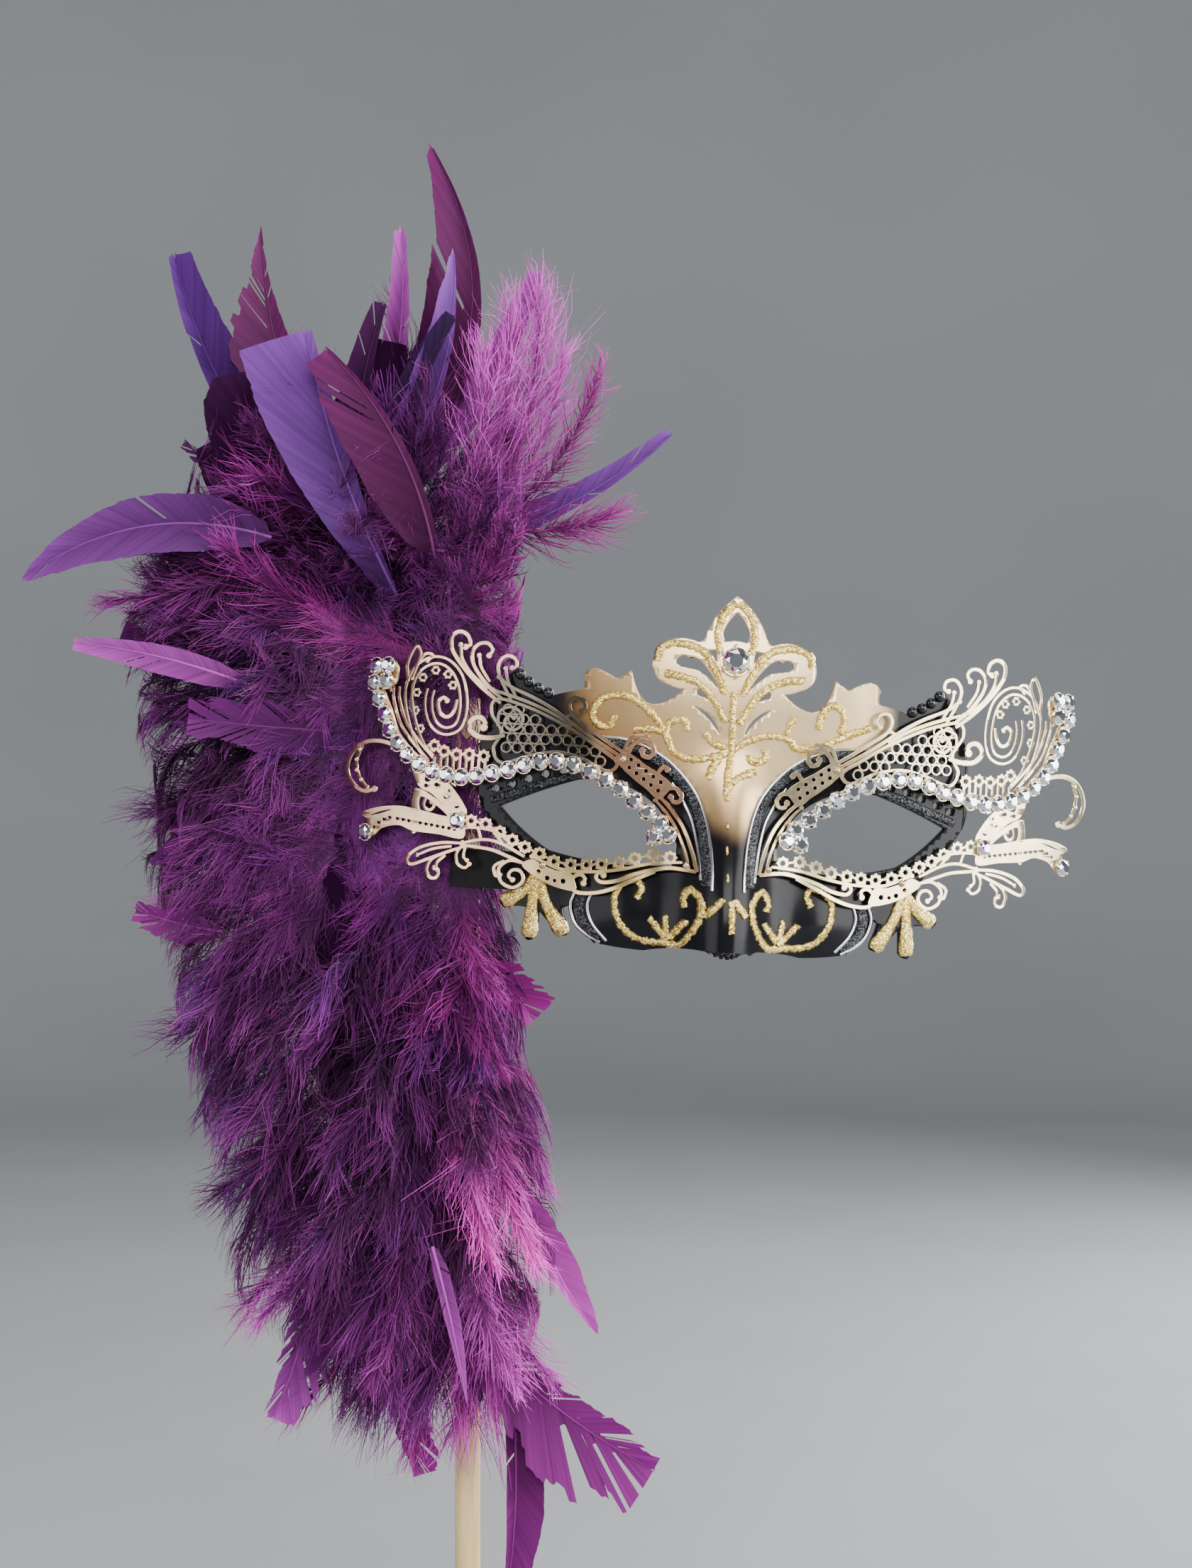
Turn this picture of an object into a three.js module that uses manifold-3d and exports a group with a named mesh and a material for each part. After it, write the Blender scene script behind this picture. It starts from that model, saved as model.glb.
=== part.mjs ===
// A feathered masquerade half mask on a wooden stick.
// Part frame: origin at the stick's foot, X to the viewer's right, -Y to the viewer, Z up.
// Mask frame: X across the face, Z up from the eye line, Y back from the brow.
import * as THREE from "three";
import { mergeVertices } from "three/addons/utils/BufferGeometryUtils.js";
import loadManifold from "manifold-3d";

const wasm = await loadManifold();
wasm.setup();

// Driving dimensions, in millimetres and degrees
const STICK = { length: 305, diameter: 7, sides: 24 };
const MASK = { eyeLine: 270, beside: 70, ahead: 28, roll: 3, wall: 1.8 };
const SWEEP = { sides: 0.004, crown: 0.004, crownFrom: 30 };
const NOSE = { bridge: 24, tip: -30, rise: 17, bridgeHalf: 8, tipHalf: 13 };
const CHEEK = { x: 25, z: -25, half: 11, rise: 4 };
const GRID = { half: 69, low: -38, high: 63, across: 16, up: 9, gather: 1.4 };
const BAND = { proud: 0.6, steps: 7 };
const LACE = { thick: 0.8, lift: 1.35 };
const STONE = { radius: 2.7, table: 1.4, height: 2, pitch: 4.7, lift: 0.55, sides: 8 };
const CROWN_STONE = { z: 44, radius: 3.8, girdle: 1.2, table: 2.2, height: 3.4, sides: 12 };
const TAB = { inner: 46, outer: 74, low: -21, high: -10.5, thick: 1.5 };
const SHIELD = { inner: 38, outer: 108, low: -25, high: 62, behind: 4.2, across: 12, up: 3 };
const FIT = 0.3;
const CUT_REACH = 80;
const ARC_STEP = 48;
const ARC_ERROR = 0.5;
const ARC_REACH = 9;
const ARC_LEAST = 4;

// Half of the mask's outline, clockwise from the crown; bulge is how far a stretch stands out
const OUTLINE = [
  { at: "crown tip", x: 0, z: 62, bulge: 1 },
  { at: "loop shoulder", x: 8, z: 51.5, bulge: -0.4 },
  { at: "loop foot", x: 10, z: 48.8, bulge: 0.6 },
  { at: "lobe top", x: 17, z: 49.3, bulge: 1.4 },
  { at: "lobe side", x: 22.2, z: 43.2, bulge: 1.6 },
  { at: "lobe foot", x: 18, z: 37, bulge: 0.3 },
  { at: "lobe root", x: 13.5, z: 36, bulge: -6.8 },
  { at: "spike tip", x: 27.9, z: 40.3, bulge: -0.2 },
  { at: "leaf dip", x: 31.8, z: 38, bulge: 0.2 },
  { at: "leaf top", x: 36.8, z: 40.4, bulge: 0.9 },
  { at: "leaf side", x: 40.6, z: 38.2, bulge: -0.4 },
  { at: "leaf step", x: 40.4, z: 34.6, bulge: 0.2 },
  { at: "bead 1", x: 49, z: 32.4, bulge: 1.1 },
  { at: "bead 2", x: 51.8, z: 33.4, bulge: 1.1 },
  { at: "bead 3", x: 54.5, z: 34.9, bulge: 1.1 },
  { at: "bead 4", x: 57, z: 36.8, bulge: 1.1 },
  { at: "brow end", x: 59.4, z: 38.8, bulge: 1.2 },
  { at: "side top", x: 65.5, z: 27, bulge: 0.6 },
  { at: "side", x: 67.8, z: 12, bulge: 0.6 },
  { at: "outer corner", x: 66.5, z: 2, bulge: 0.5 },
  { at: "cheek edge", x: 57, z: -9.5, bulge: -0.5 },
  { at: "claw root", x: 53.5, z: -18, bulge: -0.8 },
  { at: "outer claw", x: 58.2, z: -22.2, bulge: 1.7 },
  { at: "outer claw end", x: 58.8, z: -25.8, bulge: -0.3 },
  { at: "first fork", x: 53, z: -25.2, bulge: 0 },
  { at: "middle claw", x: 53.3, z: -32.6, bulge: 1.5 },
  { at: "middle claw end", x: 50, z: -33, bulge: 0 },
  { at: "second fork", x: 49.6, z: -25.8, bulge: -0.2 },
  { at: "inner claw", x: 44.2, z: -32.2, bulge: 1.7 },
  { at: "inner claw end", x: 41.7, z: -29.8, bulge: -0.2 },
  { at: "lobe notch", x: 43.4, z: -25, bulge: 0 },
  { at: "cheek side", x: 40.6, z: -23.6, bulge: 2.2 },
  { at: "cheek foot", x: 33, z: -33.8, bulge: 0.2 },
  { at: "nose wing", x: 21, z: -34.8, bulge: -0.4 },
  { at: "nose foot", x: 8, z: -33.4, bulge: 0.2 },
];
const EYE = [
  { at: "tear corner", x: 14.6, z: -11.6, bulge: 0.3 },
  { at: "nose side", x: 13.5, z: -6, bulge: 0.8 },
  { at: "inner lid", x: 20, z: 4.6, bulge: 1.1 },
  { at: "lid top", x: 33, z: 10.2, bulge: 0.3 },
  { at: "outer lid", x: 41, z: 10, bulge: 0.4 },
  { at: "outer corner", x: 61.5, z: 1.8, bulge: 0.7 },
  { at: "outer floor", x: 48, z: -9.4, bulge: 0.5 },
  { at: "inner floor", x: 30, z: -12, bulge: 0.3 },
];
// Piercings of the crown; a mirrored one is cut on both sides
const LOOP_EYE = [
  { at: "top", x: 0, z: 57.6, bulge: 0.4 },
  { at: "right", x: 3.7, z: 52, bulge: 0.2 },
  { at: "right foot", x: 2.9, z: 49.2, bulge: -0.4 },
  { at: "left foot", x: -2.9, z: 49.2, bulge: 0.2 },
  { at: "left", x: -3.7, z: 52, bulge: 0.4 },
];
const LOBE_SLOT = [
  { at: "tip", x: 3.6, z: 35.6, bulge: 0.5 },
  { at: "crest", x: 9.6, z: 44, bulge: 0.5 },
  { at: "end top", x: 14.6, z: 45.2, bulge: 1.5 },
  { at: "end foot", x: 14.6, z: 42, bulge: 0 },
  { at: "belly", x: 9.8, z: 41.2, bulge: -0.4 },
];
const STONE_SIDE = [
  { at: "foot", x: 4.9, z: 43.4, bulge: 0 },
  { at: "top inner", x: 5.2, z: 47.2, bulge: 0 },
  { at: "top outer", x: 7.8, z: 46.8, bulge: -0.3 },
];
const UNDER_LOBE = [
  { at: "outer low", x: 10, z: 34.6, bulge: 0 },
  { at: "tip", x: 5.2, z: 33, bulge: 0.3 },
  { at: "outer top", x: 9.6, z: 36.4, bulge: 0.3 },
];
const SLIT = [
  { at: "outer end", x: 10.8, z: 31.6, bulge: -0.6 },
  { at: "inner end", x: 3.2, z: 24, bulge: 1.5 },
];
const LID_HOLES = { count: 5, radius: 1.1, from: [44.6, 12.6], pull: [54, 8], to: [63, 6.6] };

// Raised bands on the mask
const BANDS = [
  { name: "eye band", from: [33, 21], a: [22, 22], b: [6.3, 11.5], to: [5.9, -16.6], width: 3.2 },
  { name: "cheek band", from: [38.2, -20.7], a: [38.8, -25], b: [36.8, -30], to: [32.4, -32.6], width: 3 },
];

// Strokes of the metal lace: each runs through its points, in x and z
const STROKES = [
  { name: "inner edge", width: 1.2, through: [[8.8, -12.6], [11.4, -4.5], [18.8, 7.4]] },
  {
    name: "lower border",
    width: 1.4,
    through: [
      [8.4, -12.8], [19, -12.6], [28, -17.5], [36, -20.4],
      [46, -18.6], [54, -13.6], [71.5, -8.2],
    ],
  },
  { name: "tail strut", width: 1, through: [[63, -5], [65, -10.2]] },
  { name: "root plate", width: 3, through: [[70.5, -9.5], [71, 0.5]] },
  {
    name: "nose curl",
    width: 1.1,
    through: [[18.4, 6.2], [17, 9.4], [14.6, 9.6], [13.8, 7.4], [15.2, 6]],
  },
  { name: "spur", width: 1.3, through: [[20, 11], [18.4, 15]] },
  {
    name: "brow scroll",
    width: 1.3,
    through: [[27, 16.6], [27, 20.5], [24, 22], [21, 20], [21.6, 17.4], [23.6, 17.2]],
  },
  {
    name: "brow upper",
    width: 1.2,
    through: [[28.5, 17], [36, 21.8], [43.6, 27.8], [43, 31.4], [40.2, 31.4], [39.8, 29]],
  },
  { name: "brow rise", width: 1.2, through: [[34, 18], [45, 25.7], [53, 29.5], [58, 33.5], [60.2, 39]] },
  {
    name: "big leaf",
    width: 1.4,
    through: [[63, 30], [70, 35], [75.4, 41], [77, 46], [75, 49], [72.2, 47.8], [72.2, 44.6]],
  },
  {
    name: "mid leaf",
    width: 1.3,
    through: [[63, 31], [69, 36.5], [71.2, 41], [70.2, 45], [67.6, 46.4], [66.2, 42.6]],
  },
  {
    name: "small leaf",
    width: 1.2,
    through: [[60.5, 29.8], [63.9, 35], [63.2, 40.6], [60.8, 42.8], [59.2, 39.4]],
  },
  {
    name: "comma",
    width: 1.3,
    through: [
      [60.5, 21.5], [64.5, 20.2], [69.6, 20.6], [71.2, 23.4],
      [68.8, 25.9], [66.3, 24], [67.8, 22.4],
    ],
  },
  {
    name: "wing spiral",
    width: 2.2,
    through: [
      [81.4, 14], [85.8, 21.5], [87.9, 31], [85, 39], [79.2, 41.6], [73.6, 37.5],
      [72.2, 29.5], [75.5, 23.2], [80.4, 23.6], [83, 29.5], [82, 34.5],
    ],
  },
  {
    name: "wing hook",
    width: 1.2,
    through: [[73, 27], [76, 25.4], [79.3, 26.2], [80, 29.4], [78.2, 31]],
  },
  { name: "tip leaf", width: 1.6, through: [[87.4, 33], [89, 39], [86.4, 45.2]] },
  { name: "cluster bar", width: 2.2, through: [[96.6, 34.6], [92.6, 34.6], [92.4, 40]] },
  {
    name: "low leaf",
    width: 1.2,
    through: [[71, -2.5], [75.5, 1.2], [80.5, 2.9], [84.6, 1.9], [85, -0.6], [83, -1.6]],
  },
  { name: "ladder rim", width: 1.5, through: [[83, -1.8], [91, 1.8], [96.5, 1.2], [101, -3]] },
  {
    name: "spray leaf",
    width: 1.3,
    through: [[70, -8.4], [77, -8.6], [83.4, -10.6], [86.8, -13.4], [85, -16], [79, -14.2], [70.5, -9.4]],
  },
  {
    name: "spray hook",
    width: 1.2,
    through: [[75, -12], [79.4, -13.8], [80.8, -16.6], [79, -19], [77.2, -17.8]],
  },
  {
    name: "cheek scroll",
    width: 1.2,
    through: [
      [54, -13.4], [58.5, -13.2], [61, -15.7], [59.6, -19.4],
      [56, -20], [54.6, -17.4], [56.6, -16.2],
    ],
  },
  {
    name: "crescent",
    width: 1.8,
    through: [[87.6, 14.6], [95, 17.8], [102, 16], [104.6, 10.5], [103.4, 5.2], [99.6, 3.4], [97.4, 6]],
  },
];
// Strips of the lace with a row of holes
const STRIPS = [
  {
    name: "lower flowers",
    width: 2.8,
    holes: 6,
    steps: 8,
    through: [[11, -9.6], [24, -9.8], [39, -12.6], [52, -9.6]],
  },
  { name: "outer flowers", width: 2.6, holes: 0, steps: 3, through: [[51, -10], [62, -5.4], [71, -0.6]] },
  {
    name: "ladder",
    width: 3.8,
    holes: 5,
    steps: 5,
    through: [[69.5, -6.4], [82, -3], [92, -2.2], [97.6, -8.2]],
  },
  { name: "wing strip", width: 3.4, holes: 0, steps: 3, through: [[62, 13.5], [73, 12.6], [84, 16.5]] },
  { name: "low strip", width: 3.2, holes: 3, steps: 3, through: [[86.5, 12.5], [79.2, 6.2], [70, -1]] },
];
// Plates of the lace with a honeycomb of holes
const PLATES = [
  {
    name: "brow lattice",
    corners: [
      [33, 17.2], [45, 25.2], [57, 29.6], [65, 31.6], [64.5, 24],
      [62, 20.5], [63, 12.5], [47, 15.6], [35, 12.6],
    ],
  },
  {
    name: "nose lattice",
    corners: [[17.4, 7], [20.4, 4.8], [31, 12.8], [35, 13.2], [33, 17.6], [27.4, 17.6], [20, 12]],
  },
  { name: "cheek lattice", corners: [[34.4, -12], [51, -10.4], [54.4, -13.2], [47, -18.6], [36.4, -20]] },
];
const HONEYCOMB = { pitch: 5, radius: 1.75, rim: 2.4 };
const SLOT = { long: 0.28, wide: 0.26 };

// The line that the stones follow, and the stones that stand beside it
const STONE_LINE = [
  [17.5, -0.6], [32.3, 10.3], [47, 14.8], [61.5, 10.9], [72, 9.2],
  [82.3, 11.8], [90.3, 19], [93.8, 27], [96.6, 34], [96.2, 39],
];
const STONE_SEAT = 2.6;
const SIDE_STONES = [[18.9, -4.6], [14.9, -3.9], [93.2, 35], [92.9, 39.2]];
const LONE_STONES = [
  { name: "root_stone", x: 71.6, z: -2.8 },
  { name: "tip_stone", x: 97, z: -7.6 },
];

// The plume's core, from the tie on the stick up to the crest; half is half its width
const CORE = [
  { x: 0, y: 0, z: 122, half: 7 },
  { x: -5, y: 0, z: 136, half: 19 },
  { x: -12, y: 0, z: 162, half: 29 },
  { x: -20, y: 1, z: 196, half: 36 },
  { x: -28, y: 9, z: 228, half: 39 },
  { x: -36, y: 30, z: 256, half: 40 },
  { x: -40, y: 41, z: 292, half: 41 },
  { x: -38, y: 41, z: 328, half: 41 },
  { x: -32, y: 36, z: 360, half: 36 },
  { x: -27, y: 31, z: 386, half: 25 },
  { x: -22, y: 28, z: 408, half: 8 },
];
const CORE_DEPTH = 0.72;
// Long feathers, each rooted at a height of the core; bow is how far the shaft arches
const LONG_FEATHERS = [
  { name: "crest tall", root: 345, tip: [-10, 26, 463], bow: -26, width: 20 },
  { name: "crest left", root: 345, tip: [-85, 22, 430], bow: 8, width: 22 },
  { name: "crest fold", root: 335, tip: [-52, 4, 409], bow: 12, width: 32 },
  { name: "crest brown", root: 345, tip: [-58, 36, 440], bow: 8, width: 20 },
  { name: "crest lilac", root: 345, tip: [-19, 12, 438], bow: -6, width: 20 },
  { name: "crest violet", root: 345, tip: [-4, 40, 431], bow: -8, width: 20 },
  { name: "crest pink", root: 345, tip: [20, 28, 427], bow: -8, width: 22 },
  { name: "crest frayed", root: 345, tip: [37, 20, 409], bow: -10, width: 24 },
  { name: "crest right", root: 340, tip: [57, 26, 381], bow: -8, width: 20 },
  { name: "crest low right", root: 335, tip: [46, 34, 356], bow: -4, width: 20 },
  { name: "side dark", root: 330, tip: [-72, 30, 382], bow: 8, width: 26 },
  { name: "side violet", root: 312, tip: [-124, 30, 337], bow: 10, width: 30 },
  { name: "side pink", root: 300, tip: [-110, 36, 320], bow: 8, width: 26 },
  { name: "side mid", root: 275, tip: [-100, 42, 272], bow: 6, width: 28 },
  { name: "side low", root: 250, tip: [-92, 36, 243], bow: 6, width: 26 },
  { name: "side lower", root: 225, tip: [-91, 26, 211], bow: 8, width: 28 },
  { name: "flank left", root: 195, tip: [-78, 16, 162], bow: 8, width: 28 },
  { name: "flank low", root: 170, tip: [-66, 10, 132], bow: 8, width: 24 },
  { name: "tail left", root: 150, tip: [-55, -6, 97], bow: 8, width: 26 },
  { name: "tail mid", root: 140, tip: [-18, -10, 80], bow: 4, width: 22 },
  { name: "tail long", root: 140, tip: [10, -8, 50], bow: -5, width: 20 },
  { name: "tail right", root: 145, tip: [52, -12, 82], bow: -8, width: 20 },
  { name: "tail violet", root: 150, tip: [25, -16, 112], bow: -6, width: 20 },
  { name: "flank right", root: 165, tip: [35, -6, 125], bow: -8, width: 22 },
  { name: "right low", root: 190, tip: [24, 2, 178], bow: -4, width: 22 },
  { name: "right high", root: 220, tip: [20, 10, 222], bow: -2, width: 20 },
];
// Short feathers that fill the plume, in tiers; lift is the slope, from and to are bearings
const TIERS = [
  { z: 384, count: 4, reach: 42, lift: 46, from: 160, to: 380, width: 34 },
  { z: 354, count: 6, reach: 60, lift: 38, from: 30, to: 390, width: 40 },
  { z: 326, count: 6, reach: 62, lift: 14, from: 50, to: 240, width: 44 },
  { z: 298, count: 6, reach: 62, lift: 0, from: 50, to: 238, width: 44 },
  { z: 270, count: 6, reach: 62, lift: -16, from: 50, to: 236, width: 44 },
  { z: 246, count: 6, reach: 60, lift: -36, from: 50, to: 316, width: 44 },
  { z: 214, count: 7, reach: 57, lift: -42, from: 4, to: 364, width: 42 },
  { z: 188, count: 7, reach: 51, lift: -50, from: 20, to: 380, width: 38 },
  { z: 162, count: 6, reach: 41, lift: -58, from: 0, to: 360, width: 32 },
];
const FEATHER_THICK = 0.26;
const FEATHER_SIDES = 3;
const LONG_PROFILE = [[0, 0], [0.46, 0.4], [0.4, 0.75], [0, 1]];
const SHORT_PROFILE = [[0, 0], [0.5, 0.55], [0, 1]];

// Solids: a geometry as a closed body for joining and cutting, and back again
function toSolid(geometry) {
  const bare = geometry.clone();
  bare.deleteAttribute("normal");
  bare.deleteAttribute("uv");
  const welded = mergeVertices(bare, 1e-4);
  const vertProperties = new Float32Array(welded.attributes.position.array);
  const triVerts = new Uint32Array(welded.index.array);
  return new wasm.Manifold(new wasm.Mesh({ numProp: 3, vertProperties, triVerts }));
}

function toGeometry(solid) {
  const mesh = solid.getMesh();
  const geometry = new THREE.BufferGeometry();
  geometry.setAttribute("position", new THREE.BufferAttribute(new Float32Array(mesh.vertProperties), 3));
  geometry.setIndex(new THREE.BufferAttribute(new Uint32Array(mesh.triVerts), 1));
  return geometry;
}

function joined(solids) {
  return solids.reduce((whole, next) => whole.add(next));
}

function moveVertices(geometry, place) {
  const positions = geometry.attributes.position;
  const point = new THREE.Vector3();
  for (let i = 0; i < positions.count; i += 1) {
    point.fromBufferAttribute(positions, i);
    place(point);
    positions.setXYZ(i, point.x, point.y, point.z);
  }
  return geometry;
}

// The mask's front skin: how far it lies behind the brow
function skinDepth(x, z) {
  const share = THREE.MathUtils.smoothstep(NOSE.bridge - z, 0, NOSE.bridge - NOSE.tip);
  const half = THREE.MathUtils.lerp(NOSE.bridgeHalf, NOSE.tipHalf, share);
  const nose = NOSE.rise * share * Math.exp(-((x / half) ** 2));
  const fromCheek = Math.hypot(Math.abs(x) - CHEEK.x, z - CHEEK.z);
  const cheek = CHEEK.rise * Math.exp(-((fromCheek / CHEEK.half) ** 2));
  const lean = SWEEP.crown * Math.max(0, z - SWEEP.crownFrom) ** 2;
  return SWEEP.sides * x * x + lean - nose - cheek;
}

function skinNormal(x, z) {
  const step = 0.5;
  const slopeX = (skinDepth(x + step, z) - skinDepth(x - step, z)) / (2 * step);
  const slopeZ = (skinDepth(x, z + step) - skinDepth(x, z - step)) / (2 * step);
  return new THREE.Vector3(slopeX, -1, slopeZ).normalize();
}

// A flat solid drawn in x and z, stood upright with its front towards the viewer, then laid on the skin
function layOnSkin(geometry, lift) {
  return moveVertices(geometry, (p) => p.set(p.x, skinDepth(p.x, p.y) - lift - p.z, p.y));
}

function flatPlate(points, holes, thick) {
  const shape = new THREE.Shape(THREE.ShapeUtils.isClockWise(points) ? [...points].reverse() : points);
  shape.holes = holes.map((hole) => new THREE.Path(hole));
  return new THREE.ExtrudeGeometry(shape, { depth: thick, bevelEnabled: false });
}

function flatSolid(points, holes, thick) {
  return toSolid(flatPlate(points, holes, thick));
}

// Outlines from rows of corners with bulging stretches
function arcPoints(start, end, bulge) {
  const chord = end.clone().sub(start);
  const half = chord.length() / 2;
  const sweep = 4 * Math.atan(Math.abs(bulge) / half);
  const steps = Math.max(1, Math.ceil(Math.sqrt(Math.abs(bulge) / ARC_ERROR)));
  const out = new THREE.Vector2(-chord.y, chord.x).normalize();
  const radius = half / Math.sin(sweep / 2);
  const points = [start];
  for (let i = 1; i < steps; i += 1) {
    const angle = sweep * (i / steps - 0.5);
    const along = 0.5 + (radius * Math.sin(angle)) / (2 * half);
    const rise = radius * (Math.cos(angle) - Math.cos(sweep / 2)) * Math.sign(bulge);
    points.push(start.clone().addScaledVector(chord, along).addScaledVector(out, rise));
  }
  return points;
}

function outlinePoints(rows, side = 1) {
  const corners = rows.map((row) => new THREE.Vector2(row.x, row.z));
  const points = rows.flatMap((row, i) => {
    const next = corners[(i + 1) % rows.length];
    return arcPoints(corners[i], next, row.bulge);
  });
  return points.map((p) => new THREE.Vector2(side * p.x, p.y));
}

function mirroredOutline(rows) {
  const back = rows.slice(1).reverse();
  const mirrored = back.map((row) => ({ ...row, x: -row.x, bulge: rows[rows.indexOf(row) - 1].bulge }));
  const right = rows.map((row, i) => (i === rows.length - 1 ? { ...row, bulge: 0 } : row));
  return outlinePoints([...right, ...mirrored]);
}

function roundHole(centre, radius, sides) {
  const points = [];
  for (let i = 0; i < sides; i += 1) {
    const angle = ((i + 0.5) / sides) * 2 * Math.PI;
    const spoke = new THREE.Vector2(Math.cos(angle), Math.sin(angle));
    points.push(spoke.multiplyScalar(radius).add(centre));
  }
  return points;
}

// Curves, ribbons and strips
function pulledCurve(row, side = 1) {
  const pulls = [row.from, row.a, row.b, row.to];
  return new THREE.CubicBezierCurve(...pulls.map(([x, z]) => new THREE.Vector2(side * x, z)));
}

function throughCurve(row, side) {
  return new THREE.SplineCurve(row.through.map(([x, z]) => new THREE.Vector2(side * x, z)));
}

function curvePoints(curve) {
  const samples = 40;
  const points = [curve.getPoint(0)];
  let turn = 0;
  for (let i = 1; i < samples; i += 1) {
    turn += curve.getTangent((i - 1) / samples).angleTo(curve.getTangent(i / samples));
    const point = curve.getPoint((i - 0.5) / samples);
    const far = point.distanceTo(points.at(-1)) > ARC_REACH;
    if (turn > THREE.MathUtils.degToRad(far ? ARC_LEAST : ARC_STEP)) {
      points.push(point);
      turn = 0;
    }
  }
  return [...points, curve.getPoint(1)];
}

function ribbonOutline(points, width) {
  const left = [];
  const right = [];
  points.forEach((point, i) => {
    const before = points[Math.max(0, i - 1)];
    const after = points[Math.min(points.length - 1, i + 1)];
    const along = after.clone().sub(before).normalize();
    const across = new THREE.Vector2(-along.y, along.x).multiplyScalar(width / 2);
    left.push(point.clone().add(across));
    right.push(point.clone().sub(across));
  });
  return [...left, ...right.reverse()];
}

function stripHoles(curve, row) {
  const pitch = curve.getLength() / (row.holes + 1);
  const holes = [];
  for (let i = 1; i <= row.holes; i += 1) {
    const centre = curve.getPointAt(i / (row.holes + 1));
    const along = curve.getTangentAt(i / (row.holes + 1)).multiplyScalar(pitch * SLOT.long);
    const across = new THREE.Vector2(-along.y, along.x).normalize().multiplyScalar(row.width * SLOT.wide);
    holes.push([
      centre.clone().sub(along).addScaledVector(across, -0.6),
      centre.clone().addScaledVector(across, -1),
      centre.clone().add(along).addScaledVector(across, -0.6),
      centre.clone().add(along).addScaledVector(across, 0.6),
      centre.clone().add(across),
      centre.clone().sub(along).addScaledVector(across, 0.6),
    ]);
  }
  return holes;
}

// Distance from a point to the rim of a plate, below zero outside it
function depthInside(point, corners) {
  let inside = false;
  let nearest = Infinity;
  corners.forEach((a, i) => {
    const b = corners[(i + 1) % corners.length];
    if ((a.y > point.y) !== (b.y > point.y)) {
      const crossing = a.x + ((point.y - a.y) / (b.y - a.y)) * (b.x - a.x);
      inside = point.x < crossing ? !inside : inside;
    }
    const edge = b.clone().sub(a);
    const share = THREE.MathUtils.clamp(point.clone().sub(a).dot(edge) / edge.lengthSq(), 0, 1);
    nearest = Math.min(nearest, point.distanceTo(a.clone().addScaledVector(edge, share)));
  });
  return inside ? nearest : -nearest;
}

function honeycombHoles(corners) {
  const box = new THREE.Box2().setFromPoints(corners);
  const rise = HONEYCOMB.pitch * Math.sin(Math.PI / 3);
  const holes = [];
  for (let row = 0; box.min.y + row * rise < box.max.y; row += 1) {
    const shift = row % 2 ? HONEYCOMB.pitch / 2 : 0;
    for (let x = box.min.x + shift; x < box.max.x; x += HONEYCOMB.pitch) {
      const centre = new THREE.Vector2(x, box.min.y + row * rise);
      if (depthInside(centre, corners) > HONEYCOMB.rim) {
        holes.push(roundHole(centre, HONEYCOMB.radius, 6));
      }
    }
  }
  return holes;
}

// Moulded mask: a curved slab cut to its outline, with raised bands
function skinSlab(proud) {
  const width = 2 * GRID.half;
  const height = GRID.high - GRID.low;
  const slab = new THREE.BoxGeometry(width, 1, height, GRID.across, 1, GRID.up);
  slab.translate(0, 0.5, (GRID.low + GRID.high) / 2);
  return toSolid(moveVertices(slab, (p) => {
    p.setX(Math.sign(p.x) * GRID.half * Math.abs(p.x / GRID.half) ** GRID.gather);
    p.setY(skinDepth(p.x, p.z) + p.y * MASK.wall - proud);
  }));
}

function cutter(points, holes) {
  return toSolid(flatPlate(points, holes, 2 * CUT_REACH).rotateX(Math.PI / 2).translate(0, CUT_REACH, 0));
}

function lidHoles(side) {
  const [from, pull, to] = [LID_HOLES.from, LID_HOLES.pull, LID_HOLES.to];
  const line = new THREE.QuadraticBezierCurve(
    new THREE.Vector2(side * from[0], from[1]),
    new THREE.Vector2(side * pull[0], pull[1]),
    new THREE.Vector2(side * to[0], to[1]),
  );
  return line.getSpacedPoints(LID_HOLES.count - 1).map((p) => roundHole(p, LID_HOLES.radius, 6));
}

function maskBase() {
  const sides = [1, -1];
  const holes = [outlinePoints(LOOP_EYE)];
  for (const side of sides) {
    for (const rows of [EYE, LOBE_SLOT, STONE_SIDE, UNDER_LOBE, SLIT]) {
      holes.push(outlinePoints(rows, side));
    }
    holes.push(...lidHoles(side));
  }
  const shell = skinSlab(0).intersect(cutter(mirroredOutline(OUTLINE), holes));
  const bands = sides.flatMap((side) => BANDS.map((row) => {
    const points = pulledCurve(row, side).getSpacedPoints(BAND.steps);
    return cutter(ribbonOutline(points, row.width), []);
  }));
  return toGeometry(shell.add(skinSlab(BAND.proud).intersect(joined(bands))));
}

// Metal lace of one side, drawn flat and then laid over the mask
function stoneLine(side) {
  const points = STONE_LINE.map(([x, z]) => new THREE.Vector3(side * x, skinDepth(x, z), z));
  return new THREE.CatmullRomCurve3(points);
}

function filigree(side) {
  const seat = stoneLine(side).getSpacedPoints(16).map((p) => new THREE.Vector2(p.x, p.z));
  const solids = [flatSolid(ribbonOutline(seat, STONE_SEAT), [], LACE.thick)];
  for (const row of STROKES) {
    const points = curvePoints(throughCurve(row, side));
    solids.push(flatSolid(ribbonOutline(points, row.width), [], LACE.thick));
  }
  for (const row of STRIPS) {
    const curve = throughCurve(row, side);
    const outline = ribbonOutline(curve.getSpacedPoints(row.steps), row.width);
    solids.push(flatSolid(outline, stripHoles(curve, row), LACE.thick));
  }
  for (const plate of PLATES) {
    const corners = plate.corners.map(([x, z]) => new THREE.Vector2(side * x, z));
    solids.push(flatSolid(corners, honeycombHoles(corners), LACE.thick));
  }
  return layOnSkin(toGeometry(joined(solids)), LACE.lift);
}

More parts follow.
